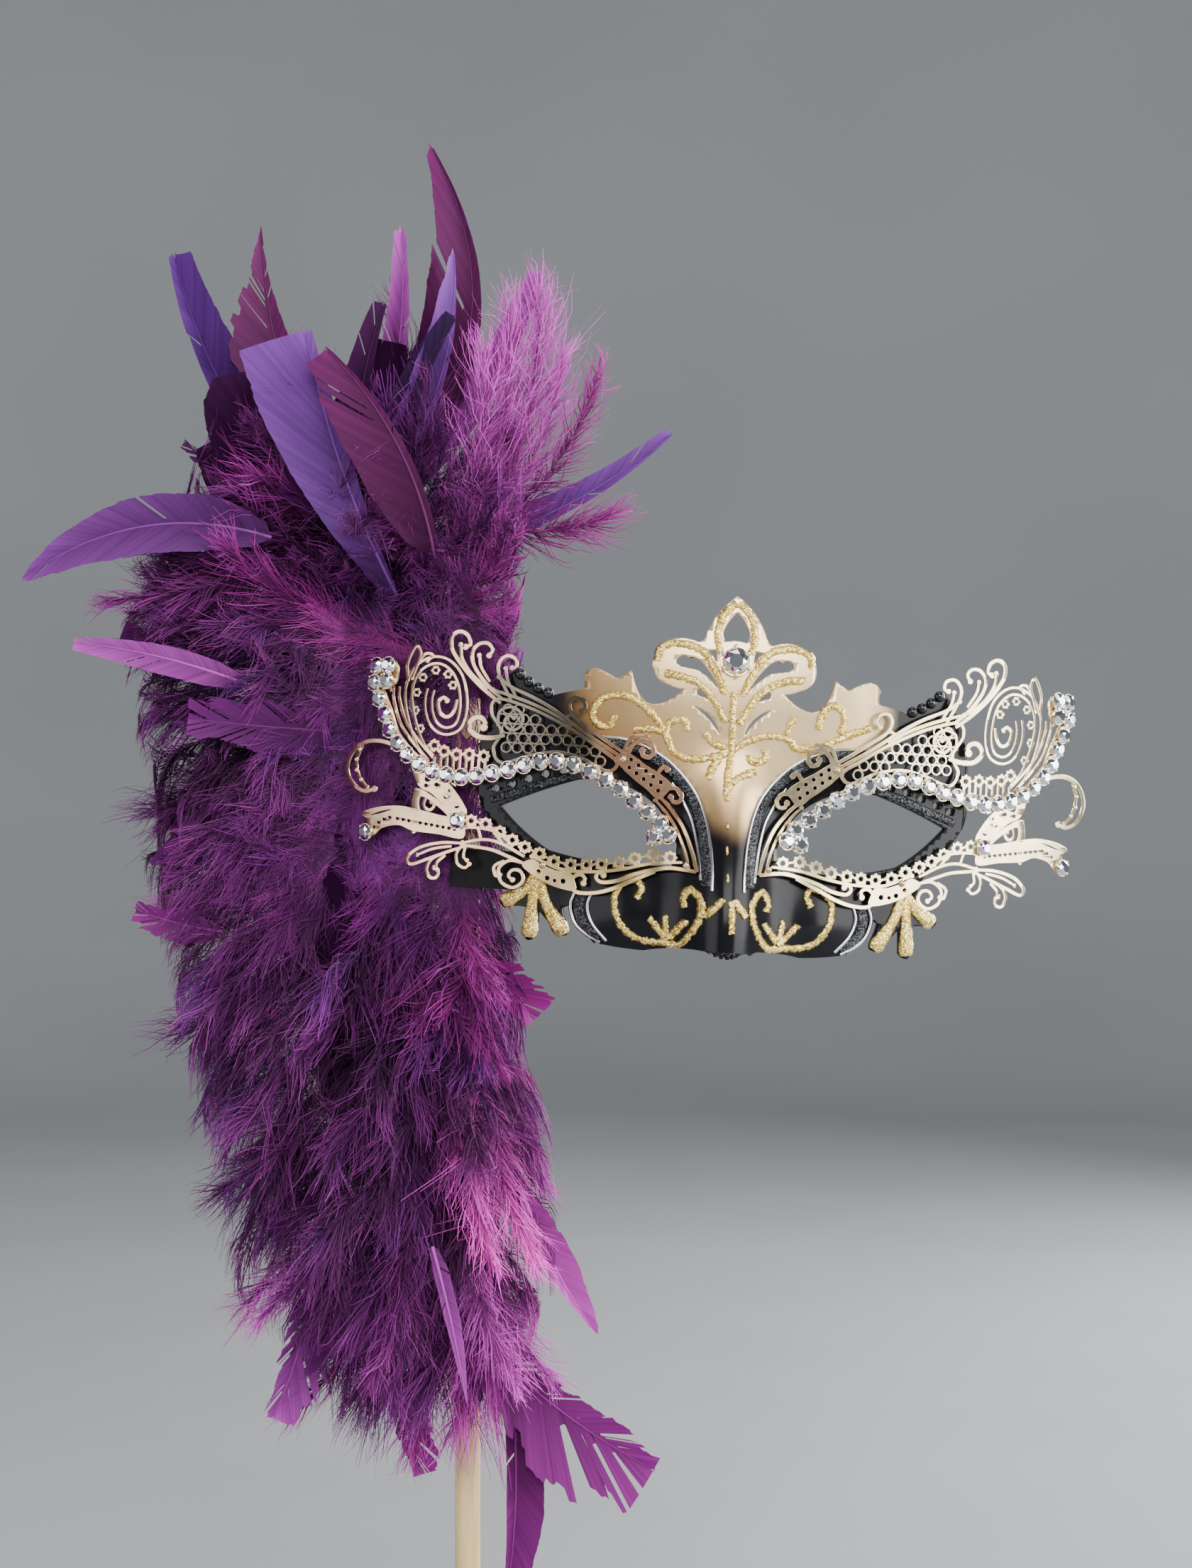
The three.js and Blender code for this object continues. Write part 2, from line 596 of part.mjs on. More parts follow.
// Stones in their cups, standing square on the lace with a facet towards the next stone
function cutStone(profile, sides, x, z, lift, along) {
  const stone = new THREE.LatheGeometry(profile, sides).rotateY(Math.PI / sides);
  const normal = skinNormal(x, z);
  const across = new THREE.Vector3().crossVectors(along, normal).normalize();
  const facing = new THREE.Vector3().crossVectors(normal, across);
  const foot = new THREE.Vector3(x, skinDepth(x, z), z).addScaledVector(normal, lift);
  return stone.applyMatrix4(new THREE.Matrix4().makeBasis(facing, normal, across).setPosition(foot));
}

function rhinestone(x, z, along) {
  const profile = [
    new THREE.Vector2(0, 0),
    new THREE.Vector2(STONE.radius, 0),
    new THREE.Vector2(STONE.table, STONE.height),
    new THREE.Vector2(0, STONE.height),
  ];
  const laceFront = (LACE.lift + LACE.thick) * Math.abs(skinNormal(x, z).y);
  return cutStone(profile, STONE.sides, x, z, laceFront + STONE.lift, along);
}

function rhinestoneRow(side) {
  const line = stoneLine(side);
  const count = Math.round(line.getLength() / STONE.pitch);
  const stones = [];
  for (let i = 0; i <= count; i += 1) {
    const place = line.getPointAt(i / count);
    stones.push(rhinestone(place.x, place.z, line.getTangentAt(i / count)));
  }
  const level = new THREE.Vector3(1, 0, 0);
  stones.push(...SIDE_STONES.map(([x, z]) => rhinestone(side * x, z, level)));
  return toGeometry(joined(stones.map(toSolid)));
}

function crownStone() {
  const profile = [
    new THREE.Vector2(0, 0),
    new THREE.Vector2(CROWN_STONE.radius, 0),
    new THREE.Vector2(CROWN_STONE.radius, CROWN_STONE.girdle),
    new THREE.Vector2(CROWN_STONE.table, CROWN_STONE.height),
    new THREE.Vector2(0, CROWN_STONE.height),
  ];
  return cutStone(profile, CROWN_STONE.sides, 0, CROWN_STONE.z, FIT, new THREE.Vector3(1, 0, 0));
}

// Tab that ties the mask's edge to the stick
function sideTab() {
  const width = TAB.outer - TAB.inner;
  const tab = new THREE.BoxGeometry(width, 1, TAB.high - TAB.low, 8, 1, 2);
  tab.translate(-(TAB.inner + TAB.outer) / 2, 0.5, (TAB.low + TAB.high) / 2);
  const back = MASK.wall + FIT;
  return moveVertices(tab, (p) => p.setY(skinDepth(p.x, p.z) + back + p.y * TAB.thick));
}

// Plume: a core with feather blades, cut clear of the stick and of the mask's wing
function spindle(curve, profile, sides, facing, width, thick) {
  const body = new THREE.LatheGeometry(profile.map(([r, t]) => new THREE.Vector2(r, t)), sides);
  return moveVertices(body, (p) => {
    const at = THREE.MathUtils.clamp(p.y, 0, 1);
    const along = curve.getTangent(at);
    const across = new THREE.Vector3().crossVectors(facing, along).normalize();
    const through = new THREE.Vector3().crossVectors(across, along).normalize();
    const [u, v] = [p.x * width, p.z * thick];
    p.copy(curve.getPoint(at)).addScaledVector(across, u).addScaledVector(through, v);
  });
}

const coreCurve = new THREE.CatmullRomCurve3(CORE.map((row) => new THREE.Vector3(row.x, row.y, row.z)));

function coreAt(z) {
  const next = CORE.findIndex((row) => row.z >= z);
  const [low, high] = [CORE[next - 1], CORE[next]];
  const share = (z - low.z) / (high.z - low.z);
  return coreCurve.getPoint((next - 1 + share) / (CORE.length - 1));
}

function feather(root, tip, bow, width, profile) {
  const along = tip.clone().sub(root);
  const facing = new THREE.Vector3(0, -1, 0);
  const across = new THREE.Vector3().crossVectors(facing, along).normalize();
  if (across.lengthSq() < 0.5) {
    across.set(1, 0, 0);
  }
  const middle = root.clone().addScaledVector(along, 0.5).addScaledVector(across, 2 * bow);
  const shaft = new THREE.QuadraticBezierCurve3(root, middle, tip);
  const flat = new THREE.Vector3().crossVectors(along, across).normalize();
  return spindle(shaft, profile, FEATHER_SIDES, flat, width, width * FEATHER_THICK);
}

function tierFeathers(tier) {
  const root = coreAt(tier.z);
  const lift = THREE.MathUtils.degToRad(tier.lift);
  const feathers = [];
  for (let i = 0; i < tier.count; i += 1) {
    const span = tier.to - tier.from;
    const bearing = THREE.MathUtils.degToRad(tier.from + (span * (i + 0.5)) / tier.count);
    const reach = tier.reach * (i % 2 ? 1 : 0.86);
    const out = new THREE.Vector3(Math.cos(bearing), Math.sin(bearing) * CORE_DEPTH, Math.tan(lift));
    const tip = root.clone().addScaledVector(out, reach);
    feathers.push(feather(root, tip, i % 2 ? 4 : -4, tier.width, SHORT_PROFILE));
  }
  return feathers;
}

function wingShield() {
  const width = SHIELD.outer - SHIELD.inner;
  const front = 160;
  const block = new THREE.BoxGeometry(width, 1, SHIELD.high - SHIELD.low, SHIELD.across, 1, SHIELD.up);
  block.translate(-(SHIELD.inner + SHIELD.outer) / 2, 0.5, (SHIELD.low + SHIELD.high) / 2);
  moveVertices(block, (p) => p.setY(p.y > 0.5 ? skinDepth(p.x, p.z) + SHIELD.behind : -front));
  return block.applyMatrix4(maskPlacement());
}

function featherPlume() {
  const widest = Math.max(...CORE.map((row) => row.half));
  const rings = CORE.map((row, i) => [row.half / widest, i / (CORE.length - 1)]);
  const profile = [[0, 0], ...rings.map(([r, t]) => [r, THREE.MathUtils.clamp(t, 0.001, 0.999)]), [0, 1]];
  const core = spindle(coreCurve, profile, 10, new THREE.Vector3(0, -1, 0), widest, widest * CORE_DEPTH);
  const longFeathers = LONG_FEATHERS.map((row) => {
    const tip = new THREE.Vector3(...row.tip);
    return feather(coreAt(row.root), tip, row.bow, row.width, LONG_PROFILE);
  });
  const feathers = [...longFeathers, ...TIERS.flatMap(tierFeathers)];
  const bulk = joined([core, ...feathers].map(toSolid));
  const clear = STICK.diameter / 2 + FIT;
  const bore = new THREE.CylinderGeometry(clear, clear, 2 * STICK.length, 12);
  bore.rotateX(Math.PI / 2).translate(0, 0, FIT);
  return toGeometry(bulk.subtract(toSolid(bore)).subtract(toSolid(wingShield())));
}

function stick() {
  const radius = STICK.diameter / 2;
  const dowel = new THREE.CylinderGeometry(radius, radius, STICK.length, STICK.sides);
  return dowel.rotateX(Math.PI / 2).translate(0, 0, STICK.length / 2);
}

// Assembly
function maskPlacement() {
  const roll = new THREE.Matrix4().makeRotationY(THREE.MathUtils.degToRad(MASK.roll));
  return new THREE.Matrix4().makeTranslation(MASK.beside, -MASK.ahead, MASK.eyeLine).multiply(roll);
}

const FINISHES = {
  wood: { color: 0xd9b98a, roughness: 0.6, metalness: 0 },
  shell: { color: 0x8a6a3c, roughness: 0.3, metalness: 0.3 },
  black: { color: 0x101014, roughness: 0.3, metalness: 0 },
  gilt: { color: 0xd9a877, roughness: 0.25, metalness: 1 },
  crystal: { color: 0xf2f4f8, roughness: 0.05, metalness: 0.2 },
  plume: { color: 0x54206e, roughness: 0.9, metalness: 0 },
};

const whole = new THREE.Group();

function addPart(name, geometry, finish, onMask) {
  const placed = onMask ? geometry.applyMatrix4(maskPlacement()) : geometry;
  const mesh = new THREE.Mesh(placed, new THREE.MeshStandardMaterial(FINISHES[finish]));
  mesh.name = name;
  whole.add(mesh);
}

addPart("stick", stick(), "wood", false);
addPart("mask_base", maskBase(), "shell", true);
addPart("side_tab", sideTab(), "black", true);
addPart("crown_stone", crownStone(), "crystal", true);
for (const [hand, side] of [["left", -1], ["right", 1]]) {
  addPart(`filigree_${hand}`, filigree(side), "gilt", true);
  addPart(`rhinestone_row_${hand}`, rhinestoneRow(side), "crystal", true);
  for (const row of LONE_STONES) {
    const stone = rhinestone(side * row.x, row.z, new THREE.Vector3(1, 0, 0));
    addPart(`${row.name}_${hand}`, stone, "crystal", true);
  }
}
addPart("feather_plume", featherPlume(), "plume", false);

export default whole;
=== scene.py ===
"""Looks of a feathered masquerade half mask on a wooden stick.

Sizes are in millimetres in the tables and in metres in Blender. The mask frame has x across the face,
z up from the eye line and depth back from the brow; the row frame has its origin at the stick's foot.
"""
import math

import bmesh
import bpy
import numpy as np
from mathutils import Matrix, Vector


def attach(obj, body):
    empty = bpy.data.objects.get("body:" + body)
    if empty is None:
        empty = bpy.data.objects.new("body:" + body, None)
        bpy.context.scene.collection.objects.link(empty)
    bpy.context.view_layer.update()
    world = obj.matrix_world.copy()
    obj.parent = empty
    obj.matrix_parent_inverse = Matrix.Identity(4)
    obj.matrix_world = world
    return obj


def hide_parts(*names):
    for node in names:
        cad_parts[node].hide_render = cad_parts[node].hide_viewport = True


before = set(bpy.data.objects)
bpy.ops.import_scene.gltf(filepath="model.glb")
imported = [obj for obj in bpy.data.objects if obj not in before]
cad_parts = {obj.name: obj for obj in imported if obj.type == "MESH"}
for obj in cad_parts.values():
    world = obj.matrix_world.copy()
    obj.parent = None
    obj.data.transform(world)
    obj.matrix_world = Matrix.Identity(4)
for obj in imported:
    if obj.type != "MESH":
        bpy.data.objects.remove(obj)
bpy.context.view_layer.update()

MM = 0.001
SEED = 7
draw = np.random.default_rng(SEED)

# Mask placing and the shape of its front skin
MASK_AT = (70.0, -28.0, 270.0)
ROLL = math.radians(3.0)
WALL = 1.8
SWEEP = 0.004
CROWN_LEAN, CROWN_FROM = 0.004, 30.0
NOSE_TOP, NOSE_LOW, NOSE_RISE, NOSE_HALF_TOP, NOSE_HALF_LOW = 24.0, -30.0, 17.0, 8.0, 13.0
CHEEK_X, CHEEK_Z, CHEEK_HALF, CHEEK_RISE = 25.0, -25.0, 11.0, 4.0

# Camera at the photograph's viewing angle
CAMERA_AIM = (35.3, -10.0, 281.0)
CAMERA_AZIMUTH = math.radians(-2.2)
CAMERA_AWAY = 800.0
CAMERA_LENS, CAMERA_SENSOR = 66.8, 36.0

LACE_LIFT, LACE_SPREAD = 1.75, 1.05
STICK_LENGTH, STICK_RADIUS, STICK_BEVEL = 305.0, 3.5, 0.5
# Edges that turn by more than these angles, in degrees, stay sharp
LACE_SHARP, TURNED_SHARP = 28, 50

# Half outline of the mask, clockwise from the crown: x, z, bulge of the stretch that follows
OUTLINE = [
    (0, 62, 1), (8, 51.5, -0.4), (10, 48.8, 0.6), (17, 49.3, 1.4), (22.2, 43.2, 1.6), (18, 37, 0.3),
    (13.5, 36, -6.8), (27.9, 40.3, -0.2), (31.8, 38, 0.2), (36.8, 40.4, 0.9), (40.6, 38.2, -0.4),
    (40.4, 34.6, 0.2), (49, 32.4, 1.1), (51.8, 33.4, 1.1), (54.5, 34.9, 1.1), (57, 36.8, 1.1),
    (59.4, 38.8, 1.2), (65.5, 27, 0.6), (67.8, 12, 0.6), (66.5, 2, 0.5), (57, -9.5, -0.5),
    (53.5, -18, -0.8), (58.2, -22.2, 1.7), (58.8, -25.8, -0.3), (53, -25.2, 0), (53.3, -32.6, 1.5),
    (50, -33, 0), (49.6, -25.8, -0.2), (44.2, -32.2, 1.7), (41.7, -29.8, -0.2), (43.4, -25, 0),
    (40.6, -23.6, 2.2), (33, -33.8, 0.2), (21, -34.8, -0.4), (8, -33.4, 0.2),
]
EYE = [
    (14.6, -11.6, 0.3), (13.5, -6, 0.8), (20, 4.6, 1.1), (33, 10.2, 0.3),
    (41, 10, 0.4), (61.5, 1.8, 0.7), (48, -9.4, 0.5), (30, -12, 0.3),
]
LOOP_EYE = [(0, 57.6, 0.4), (3.7, 52, 0.2), (2.9, 49.2, -0.4), (-2.9, 49.2, 0.2), (-3.7, 52, 0.4)]
LOBE_SLOT = [(3.6, 35.6, 0.5), (9.6, 44, 0.5), (14.6, 45.2, 1.5), (14.6, 42, 0), (9.8, 41.2, -0.4)]
STONE_SIDE = [(4.9, 43.4, 0), (5.2, 47.2, 0), (7.8, 46.8, -0.3)]
UNDER_LOBE = [(10, 34.6, 0), (5.2, 33, 0.3), (9.6, 36.4, 0.3)]
SLIT = [(10.8, 31.6, -0.6), (3.2, 24, 1.5)]
LID_HOLES = [(44.6, 12.3), (49.5, 11.2), (54, 9.7), (58.4, 8.1), (62.8, 6.6)]
LID_HOLE_RADIUS = 1.1
# The flat shell's corners and the size of the cells that let it bend
SHELL_LOW, SHELL_HIGH, SHELL_CELL = (-69, -38), (69, 63), 1.8

# Moulded lines of the mask
BAND_OUTER = [
    (35, 22), (28, 21.5), (20, 18.5), (14, 14), (9, 8), (6.5, 2), (5, -5), (4.4, -12), (4.4, -17.5),
]
BAND_MIDDLE = [(34, 20.4), (27, 19.6), (19.5, 16.4), (13, 11), (9, 5), (7, -2), (6.1, -9), (5.9, -16.4)]
BAND_INNER = [(15.5, 10.5), (12.5, 6), (10, 1), (8.5, -5), (7.7, -10), (7.3, -15)]
CHEEK_OUTER = [(40, -20.4), (41, -24), (39.6, -28.6), (36.5, -31.5), (32.6, -33.4)]
CHEEK_INNER = [(35.5, -20), (36.5, -24), (35, -28.5), (31, -33)]
CHEEK_MIDDLE = [(37.8, -20.4), (38.8, -24), (37.4, -28.6), (33, -32.8)]
LID_LINE = [(64, 3.4), (55, 6.6), (47, 9.6), (40, 11.4), (34, 11.6)]
BEADS = [(49.8, 33.2), (52.6, 34.4), (55.2, 36), (57.6, 38)]
RIVETS = [(11, -11.4), (29, 16.2), (49, -13.6)]

# Glitter strokes: those of both sides, then those that differ from side to side
GLITTER_BOTH = [
    [(21, 43.5), (20, 47), (15, 48.3), (9, 46.5), (4.8, 40.5), (2.4, 35)],
    [(19, 40), (14, 39.3), (9, 37.2), (5, 33), (2, 27.5)],
    [(0.3, 60), (3.4, 57), (5, 52.5), (4.8, 48.5), (4, 46.4)],
    [
        (23.5, -21), (22.3, -18), (24, -16), (27, -17), (29.3, -20), (29, -25), (26.5, -29.5), (22, -32),
        (17, -32.3), (12, -32.5), (9, -29), (7, -24.5), (7, -20.5), (9.5, -17.5), (11.5, -20), (11, -22.5),
    ],
    [(15, -31.5), (20, -26)],
    [(15, -31), (16, -25)],
    [(14.5, -31), (10.5, -25.8)],
]
GLITTER_SINGLE = [
    [(0, 36), (0, 28), (0, 20), (-1, 10), (-0.5, 6.5)],
    [
        (-31.5, 28), (-33, 25), (-36.5, 25.5), (-37.5, 29), (-35, 32.5), (-30, 33.5), (-25, 31.5),
        (-20, 27), (-17.5, 23), (-15.5, 19), (-11, 17.3), (-5, 18), (0, 20),
    ],
    [(-26.5, 24.3), (-23, 24.8), (-19, 24.4)],
    [(-18, 24), (-16.5, 27), (-13, 27.5), (-12, 25)],
    [(-7.5, 24.5), (-5, 22), (-1, 20.5)],
    [(-2, 20), (-4.5, 16), (-6, 12)],
    [(-1, 9), (1, 12), (5, 14), (7, 14.6)],
    [(0, 20), (5, 23), (10, 24.5), (15, 24), (18, 21.5), (24, 22), (30, 25), (38, 28)],
    [(23.4, 27), (24.4, 31), (27, 33.6), (29.8, 32.4), (30.6, 29), (29.6, 26.4)],
    [(16.5, 30), (15, 25)],
    [(9, 21), (9.6, 19), (8, 17.4), (5.4, 17.6), (5, 19)],
    [(-6, -24.5), (-1, -19.5)],
    [(1, -20), (1.2, -28.5)],
    [(1.5, -19.5), (5, -24)],
]
GLITTER_DOTS = [(-0.6, -6.8, 1.4), (-0.3, -14, 1.4), (-0.5, -0.3, 0.9)]
CLAW_ARMS = [
    [(50, -15.5), (53.4, -20.4), (59.2, -24.6)],
    [(50.4, -17), (51.2, -24), (51.6, -33.4)],
    [(50, -17), (47.4, -24), (42.2, -32)],
]
CLAW_GROW = ([0, 0.45, 0.88, 0.97, 1], [1.7, 1.5, 2.3, 2.0, 1.4])
GLITTER_RADIUS = 1.02

# Metal lace: single wires by width, twin wires, flowers and pierced plates
WIRES = [
    (1.0, [(8.3, -12.9), (9.5, -8), (12, -1.5), (15.5, 3.5), (18.5, 6.5)]),
    (0.8, [(10.3, -12.2), (11.5, -7.5), (13.8, -2), (16.8, 2.4), (19.8, 5.6)]),
    (1.1, [
        (8.5, -12.9), (15, -12.3), (20, -13.2), (25, -14.7), (29, -16.5), (33, -17.2), (34.6, -16),
        (33.8, -14.6), (32.6, -15.3),
    ]),
    (1.1, [
        (19, -13.5), (25, -16.2), (30, -18.7), (35, -20.2), (39.6, -20.3), (41, -18.5), (40.7, -16.5),
        (39, -15.5), (37.5, -16.3), (37.8, -17.8),
    ]),
    (0.9, [(12, -10.6), (20, -11.4), (28, -13.4), (36, -14.6), (44, -14.4), (52, -11.4)]),
    (1.0, [(54, -13.5), (58, -12), (63, -10.3), (68, -9.7), (71, -9.5)]),
    (0.9, [(54, -11.6), (60, -8.6), (65, -7.6), (71, -8.8)]),
    (0.8, [(57, -9), (61.5, -5.6), (66, -4.6), (70.5, -4.6)]),
    (0.8, [(60, -8.4), (62.4, -5.6)]),
    (0.8, [(66, -7.8), (67, -4.6)]),
    (1.0, [
        (54, -13.4), (58, -12.9), (60.8, -15.3), (59.9, -18.9), (56.7, -20.2), (54.1, -18.2),
        (54.8, -15.7), (57, -15.4), (58.1, -17), (56.9, -18.1),
    ]),
    (0.9, [(59.4, -13), (62.1, -14.8), (61.5, -17.4), (60.4, -17)]),
    (1.1, [(18.5, 6.5), (16.8, 8.7), (14.6, 9.1), (12.9, 7.6), (13.3, 5.6), (15, 5.4), (15.7, 6.7)]),
    (1.1, [(19.8, 11.4), (19.2, 13.4), (17.8, 14.8), (16.9, 14)]),
    (1.2, [
        (28, 16.5), (26.9, 19.7), (24.5, 21.5), (22, 20.9), (20.8, 18.8), (21.9, 17.1), (23.7, 17.5),
        (24, 18.8),
    ]),
    (1.0, [(28.6, 17.2), (28.2, 20.2), (26.4, 22.2), (23, 22.6)]),
    (1.0, [
        (28.5, 17.8), (33, 20.5), (38, 23.8), (42.5, 27), (44, 30), (42.8, 32.2), (40.6, 31.8),
        (39.6, 29.8), (40.7, 28.6),
    ]),
    (1.0, [(29.5, 16.8), (35, 20), (40, 23.2), (44.6, 26.6), (43.4, 27.6)]),
    (1.0, [(44.6, 26.4), (49, 29.2), (54, 31.8), (60, 34.4), (63.4, 37)]),
    (1.0, [(43, 24.4), (48, 27.4), (54, 30), (60, 32), (65, 33.4)]),
    (0.9, [
        (63.2, 23.6), (62.7, 27.6), (59.5, 28.9), (56.7, 27), (56.8, 23.9), (59.3, 22.6), (61.3, 24.4),
        (60.4, 26.5), (58.8, 26),
    ]),
    (1.5, [
        (61, 21.2), (64.5, 20.3), (68.6, 20.6), (70.9, 22.8), (70.2, 25), (68.3, 25.8), (66.6, 24.6),
        (66.9, 23),
    ]),
    (1.2, [
        (62.6, 29.8), (68, 34), (73, 39), (76.5, 44), (76.9, 47.8), (74.6, 49.3), (72.3, 47.9),
        (71.8, 45.6), (73, 45),
    ]),
    (1.0, [(66.4, 33.6), (71, 37.6), (73.8, 42), (74.4, 45.6)]),
    (1.1, [
        (62, 30.8), (66.5, 34.7), (70.2, 39.6), (71.1, 43.3), (69.5, 45.8), (67.1, 46.2), (65.5, 44.5),
        (66.4, 42.8),
    ]),
    (0.9, [(65.8, 35.6), (68.4, 39.6), (69.1, 42.8)]),
    (1.0, [(59.6, 30.4), (63.4, 37.6), (63.5, 41), (61.5, 42.9), (59.1, 42), (58.8, 40), (60, 39.6)]),
    (0.9, [(58.4, 31.6), (61, 36.2), (61.7, 39.4)]),
    (1.1, [(74.6, 30.4), (75.4, 27), (77.1, 25.5), (79.1, 26.6), (79.8, 29.5), (78.2, 30.9), (77.4, 30)]),
    (0.9, [(88.4, 35), (88.9, 40), (86.8, 45), (85.4, 43), (86.2, 39.6), (87.4, 36)]),
    (0.9, [(87, 38.6), (84.2, 42.7), (81.8, 42.4), (83.4, 40.9)]),
    (1.0, [(84.8, 5.4), (85, -0.4), (84.8, -6.5)]),
    (0.9, [(81.6, 3.6), (82.4, 0.8), (80.6, -0.4), (79.4, 0.9), (80.3, 1.9)]),
    (1.0, [
        (70.4, -9), (77, -9.2), (83, -11), (86.3, -14.1), (85, -15.7), (80, -13.7), (75, -11.6),
        (70.6, -9.8),
    ]),
    (0.8, [(74, -10), (79, -11), (83.4, -13)]),
    (1.0, [
        (73.4, -10.8), (79, -13.6), (80.6, -16.5), (79.7, -18.9), (77.9, -18.9), (77.3, -17.2),
        (78.5, -16.2),
    ]),
    (0.9, [(75.6, -12.6), (78, -15), (77.6, -16.8)]),
    (0.9, [(71, -9.4), (72.6, -12), (72.1, -14.7), (70.1, -15.7), (68.9, -14.6)]),
    (0.8, [(70.2, -10), (70.6, -12.6), (69.6, -13.6)]),
    (1.3, [
        (87.6, 14.6), (93, 17.6), (98.4, 18), (102.4, 16), (104.6, 12), (104.3, 8), (102, 5), (99, 3.8),
        (96.6, 4.6),
    ]),
    (1.0, [(100.6, 16.6), (102.1, 12.4), (101.2, 8), (98.8, 5)]),
    (0.9, [(93, 32), (95, 35.6), (94.6, 40)]),
    (2.2, [(96.6, 34.6), (92.8, 34.8), (92.6, 39.4), (96.2, 39)]),
]
TWINS = [
    (0.8, 0.95, [
        (81, 14), (84, 17.5), (86.5, 23), (88, 29), (88, 34), (86, 38.5), (82, 41), (78, 40.5),
        (74.5, 37), (73, 32), (72.8, 27), (74, 23), (77, 21.6), (80, 22.7), (82, 26), (82.5, 30),
        (82, 33),
    ]),
    (0.8, 0.8, [(81, 13.5), (86, 19), (89.5, 24), (91.5, 30), (91.6, 33.5)]),
    (0.7, 0.75, [(74, 6), (80, 9.6), (85.4, 12.6)]),
]
FLOWERS = [
    (15.2, -9.5), (19.8, -9), (24.5, -10.3), (28.8, -11.6), (33.3, -12.3), (37.3, -12.8), (41.5, -13),
    (46, -12.4), (50, -10.5), (54, -9), (57.5, -7.3), (61, -5.3), (65, -3.3), (69, -2.7), (74, 2.5),
    (76, 5), (79, 6.8), (66.5, 15.2), (70.5, 15.5), (74, 15.3), (77.5, 16), (80.3, 17.5),
]
# Flowers and the links between near ones: radius, half width, longest link and its half width
FLOWER_RADIUS, FLOWER_HALF, FLOWER_LINK, LINK_HALF = 1.25, 0.42, 6.0, 0.32
SMALL_FLOWER_RADIUS, SMALL_FLOWER_HALF = 0.9, 0.34
BAR_HALF, SEAT_HALF = 0.45, 1.2
SMALL_FLOWERS = [(84.5, 22), (86.2, 27), (86, 32), (84.5, 36.2), (81, 38.3), (77.5, 37.3), (76, 34.3)]
BARS = [(66 + 1.75 * i, 10.6, 14.4) for i in range(9)]
CRESCENT_BEADS = [(101.2, 15.4), (102, 12.6), (101.8, 9.6), (100.4, 7)]


def hole_row(x, z, step_x, step_z, radius, count):
    """A straight row of round holes in a plate."""
    return [(x + step_x * i, z + step_z * i, radius) for i in range(count)]


PLATES = [
    {
        "corners": [
            (40, -19.9), (45, -19.3), (50, -17.3), (54.5, -14), (52, -12.2), (49, -13.6), (45, -15),
            (41.5, -15.2), (40.4, -17),
        ],
        "holes": [(43.3, -17.6, 0.75), (45.6, -17.6, 0.55), (47.6, -17, 0.7), (50, -15.4, 0.65)],
    },
    {
        "corners": [
            (16.6, 8), (15.6, 10), (19, 12.7), (23, 15), (28, 18), (31, 16.4), (27.5, 12.4), (22.5, 8.6),
            (19, 6),
        ],
        "holes": hole_row(18.6, 10.5, 2.05, 1.42, 0.62, 5) + hole_row(19.2, 8.2, 2.0, 1.45, 0.62, 5),
    },
    {
        "corners": [(84.6, 5.2), (84.6, -1.4), (72, -3.7), (73.6, -1.6), (79, 2.8)],
        "holes": [],
        "slots": [[(83.3, 3.2), (79.6, 1.6), (75.4, -2), (80, -1.4), (83.2, -0.6)]],
    },
    {
        "corners": [
            (72, -3), (79, -1.4), (85, -0.2), (90, 0.3), (96, -0.6), (100, -2.4), (98.2, -4), (98.4, -7),
            (96.4, -8.6), (93.6, -6.1), (89, -5.1), (85, -6.4), (78, -6.9), (71, -7.6),
        ],
        "holes": [
            *hole_row(73.4, -5.3, 1.62, 0.2, 0.5, 11),
            (91.8, -3.1, 0.5), (93.4, -3.7, 0.5), (94.9, -4.7, 0.5), (96.1, -6, 0.5),
        ],
        "slots": [[(98, -3), (94.6, -1.5), (91.2, -0.8), (94.6, -2.2)]],
    },
    {
        "corners": [
            (86.4, 12.8), (84.2, 6.4), (80, 4), (72.5, -2), (70.4, 0), (74.6, 6.2), (79.6, 10),
            (83, 13.6),
        ],
        "holes": [
            (73.2, 1.2, 0.8), (76.2, 3.6, 0.8), (75.2, 5.3, 0.6), (79, 6.4, 0.9), (81.6, 8.2, 0.9),
            (83.6, 10.4, 0.9), (82, 6.3, 0.6), (80.2, 9, 0.6),
        ],
    },
]
LATTICE = [
    (30.5, 15.4), (36, 19.2), (41, 22.4), (47, 25.6), (55, 29), (63.4, 31), (65, 27.4), (62, 22),
    (64, 17.4), (61.5, 13.6), (54, 16), (47, 17.2), (40, 15.8), (33, 12.7),
]
LATTICE_PITCH, LATTICE_RING, LATTICE_WALL, LATTICE_RIM = 3.0, 1.34, 0.5, 1.1
PLATE_THICK, PLATE_ROUNDING, PLATE_CELL = 0.5, 0.1, 3.0

# Stones
STONE_LINE = [
    (17.5, -0.6), (32.3, 10.3), (47, 14.8), (61.5, 10.9), (72, 9.2),
    (82.3, 11.8), (90.3, 19), (93.8, 27), (96.6, 34), (96.2, 39),
]
STONE_PITCH, STONE_RADIUS, STONE_STAND, STONE_PRONGS = 4.7, 2.25, 2.9, 4
SIDE_STONES = [(18.9, -4.6), (14.9, -3.9), (93.2, 35), (92.9, 39.2), (71.6, -2.8), (97, -7.6)]
CROWN_STONE_Z, CROWN_STONE_RADIUS, CROWN_STONE_STAND, CROWN_PRONGS = 44.0, 3.8, 1.1, 6
# Corners of a cut stone, ring by ring: share of its radius, height, how many and turn
STONE_RINGS = [(0.98, 0.0, 16, 0.0), (1.0, 0.16, 16, 0.0), (0.8, 0.5, 8, 0.5), (0.52, 0.74, 8, 0.0)]

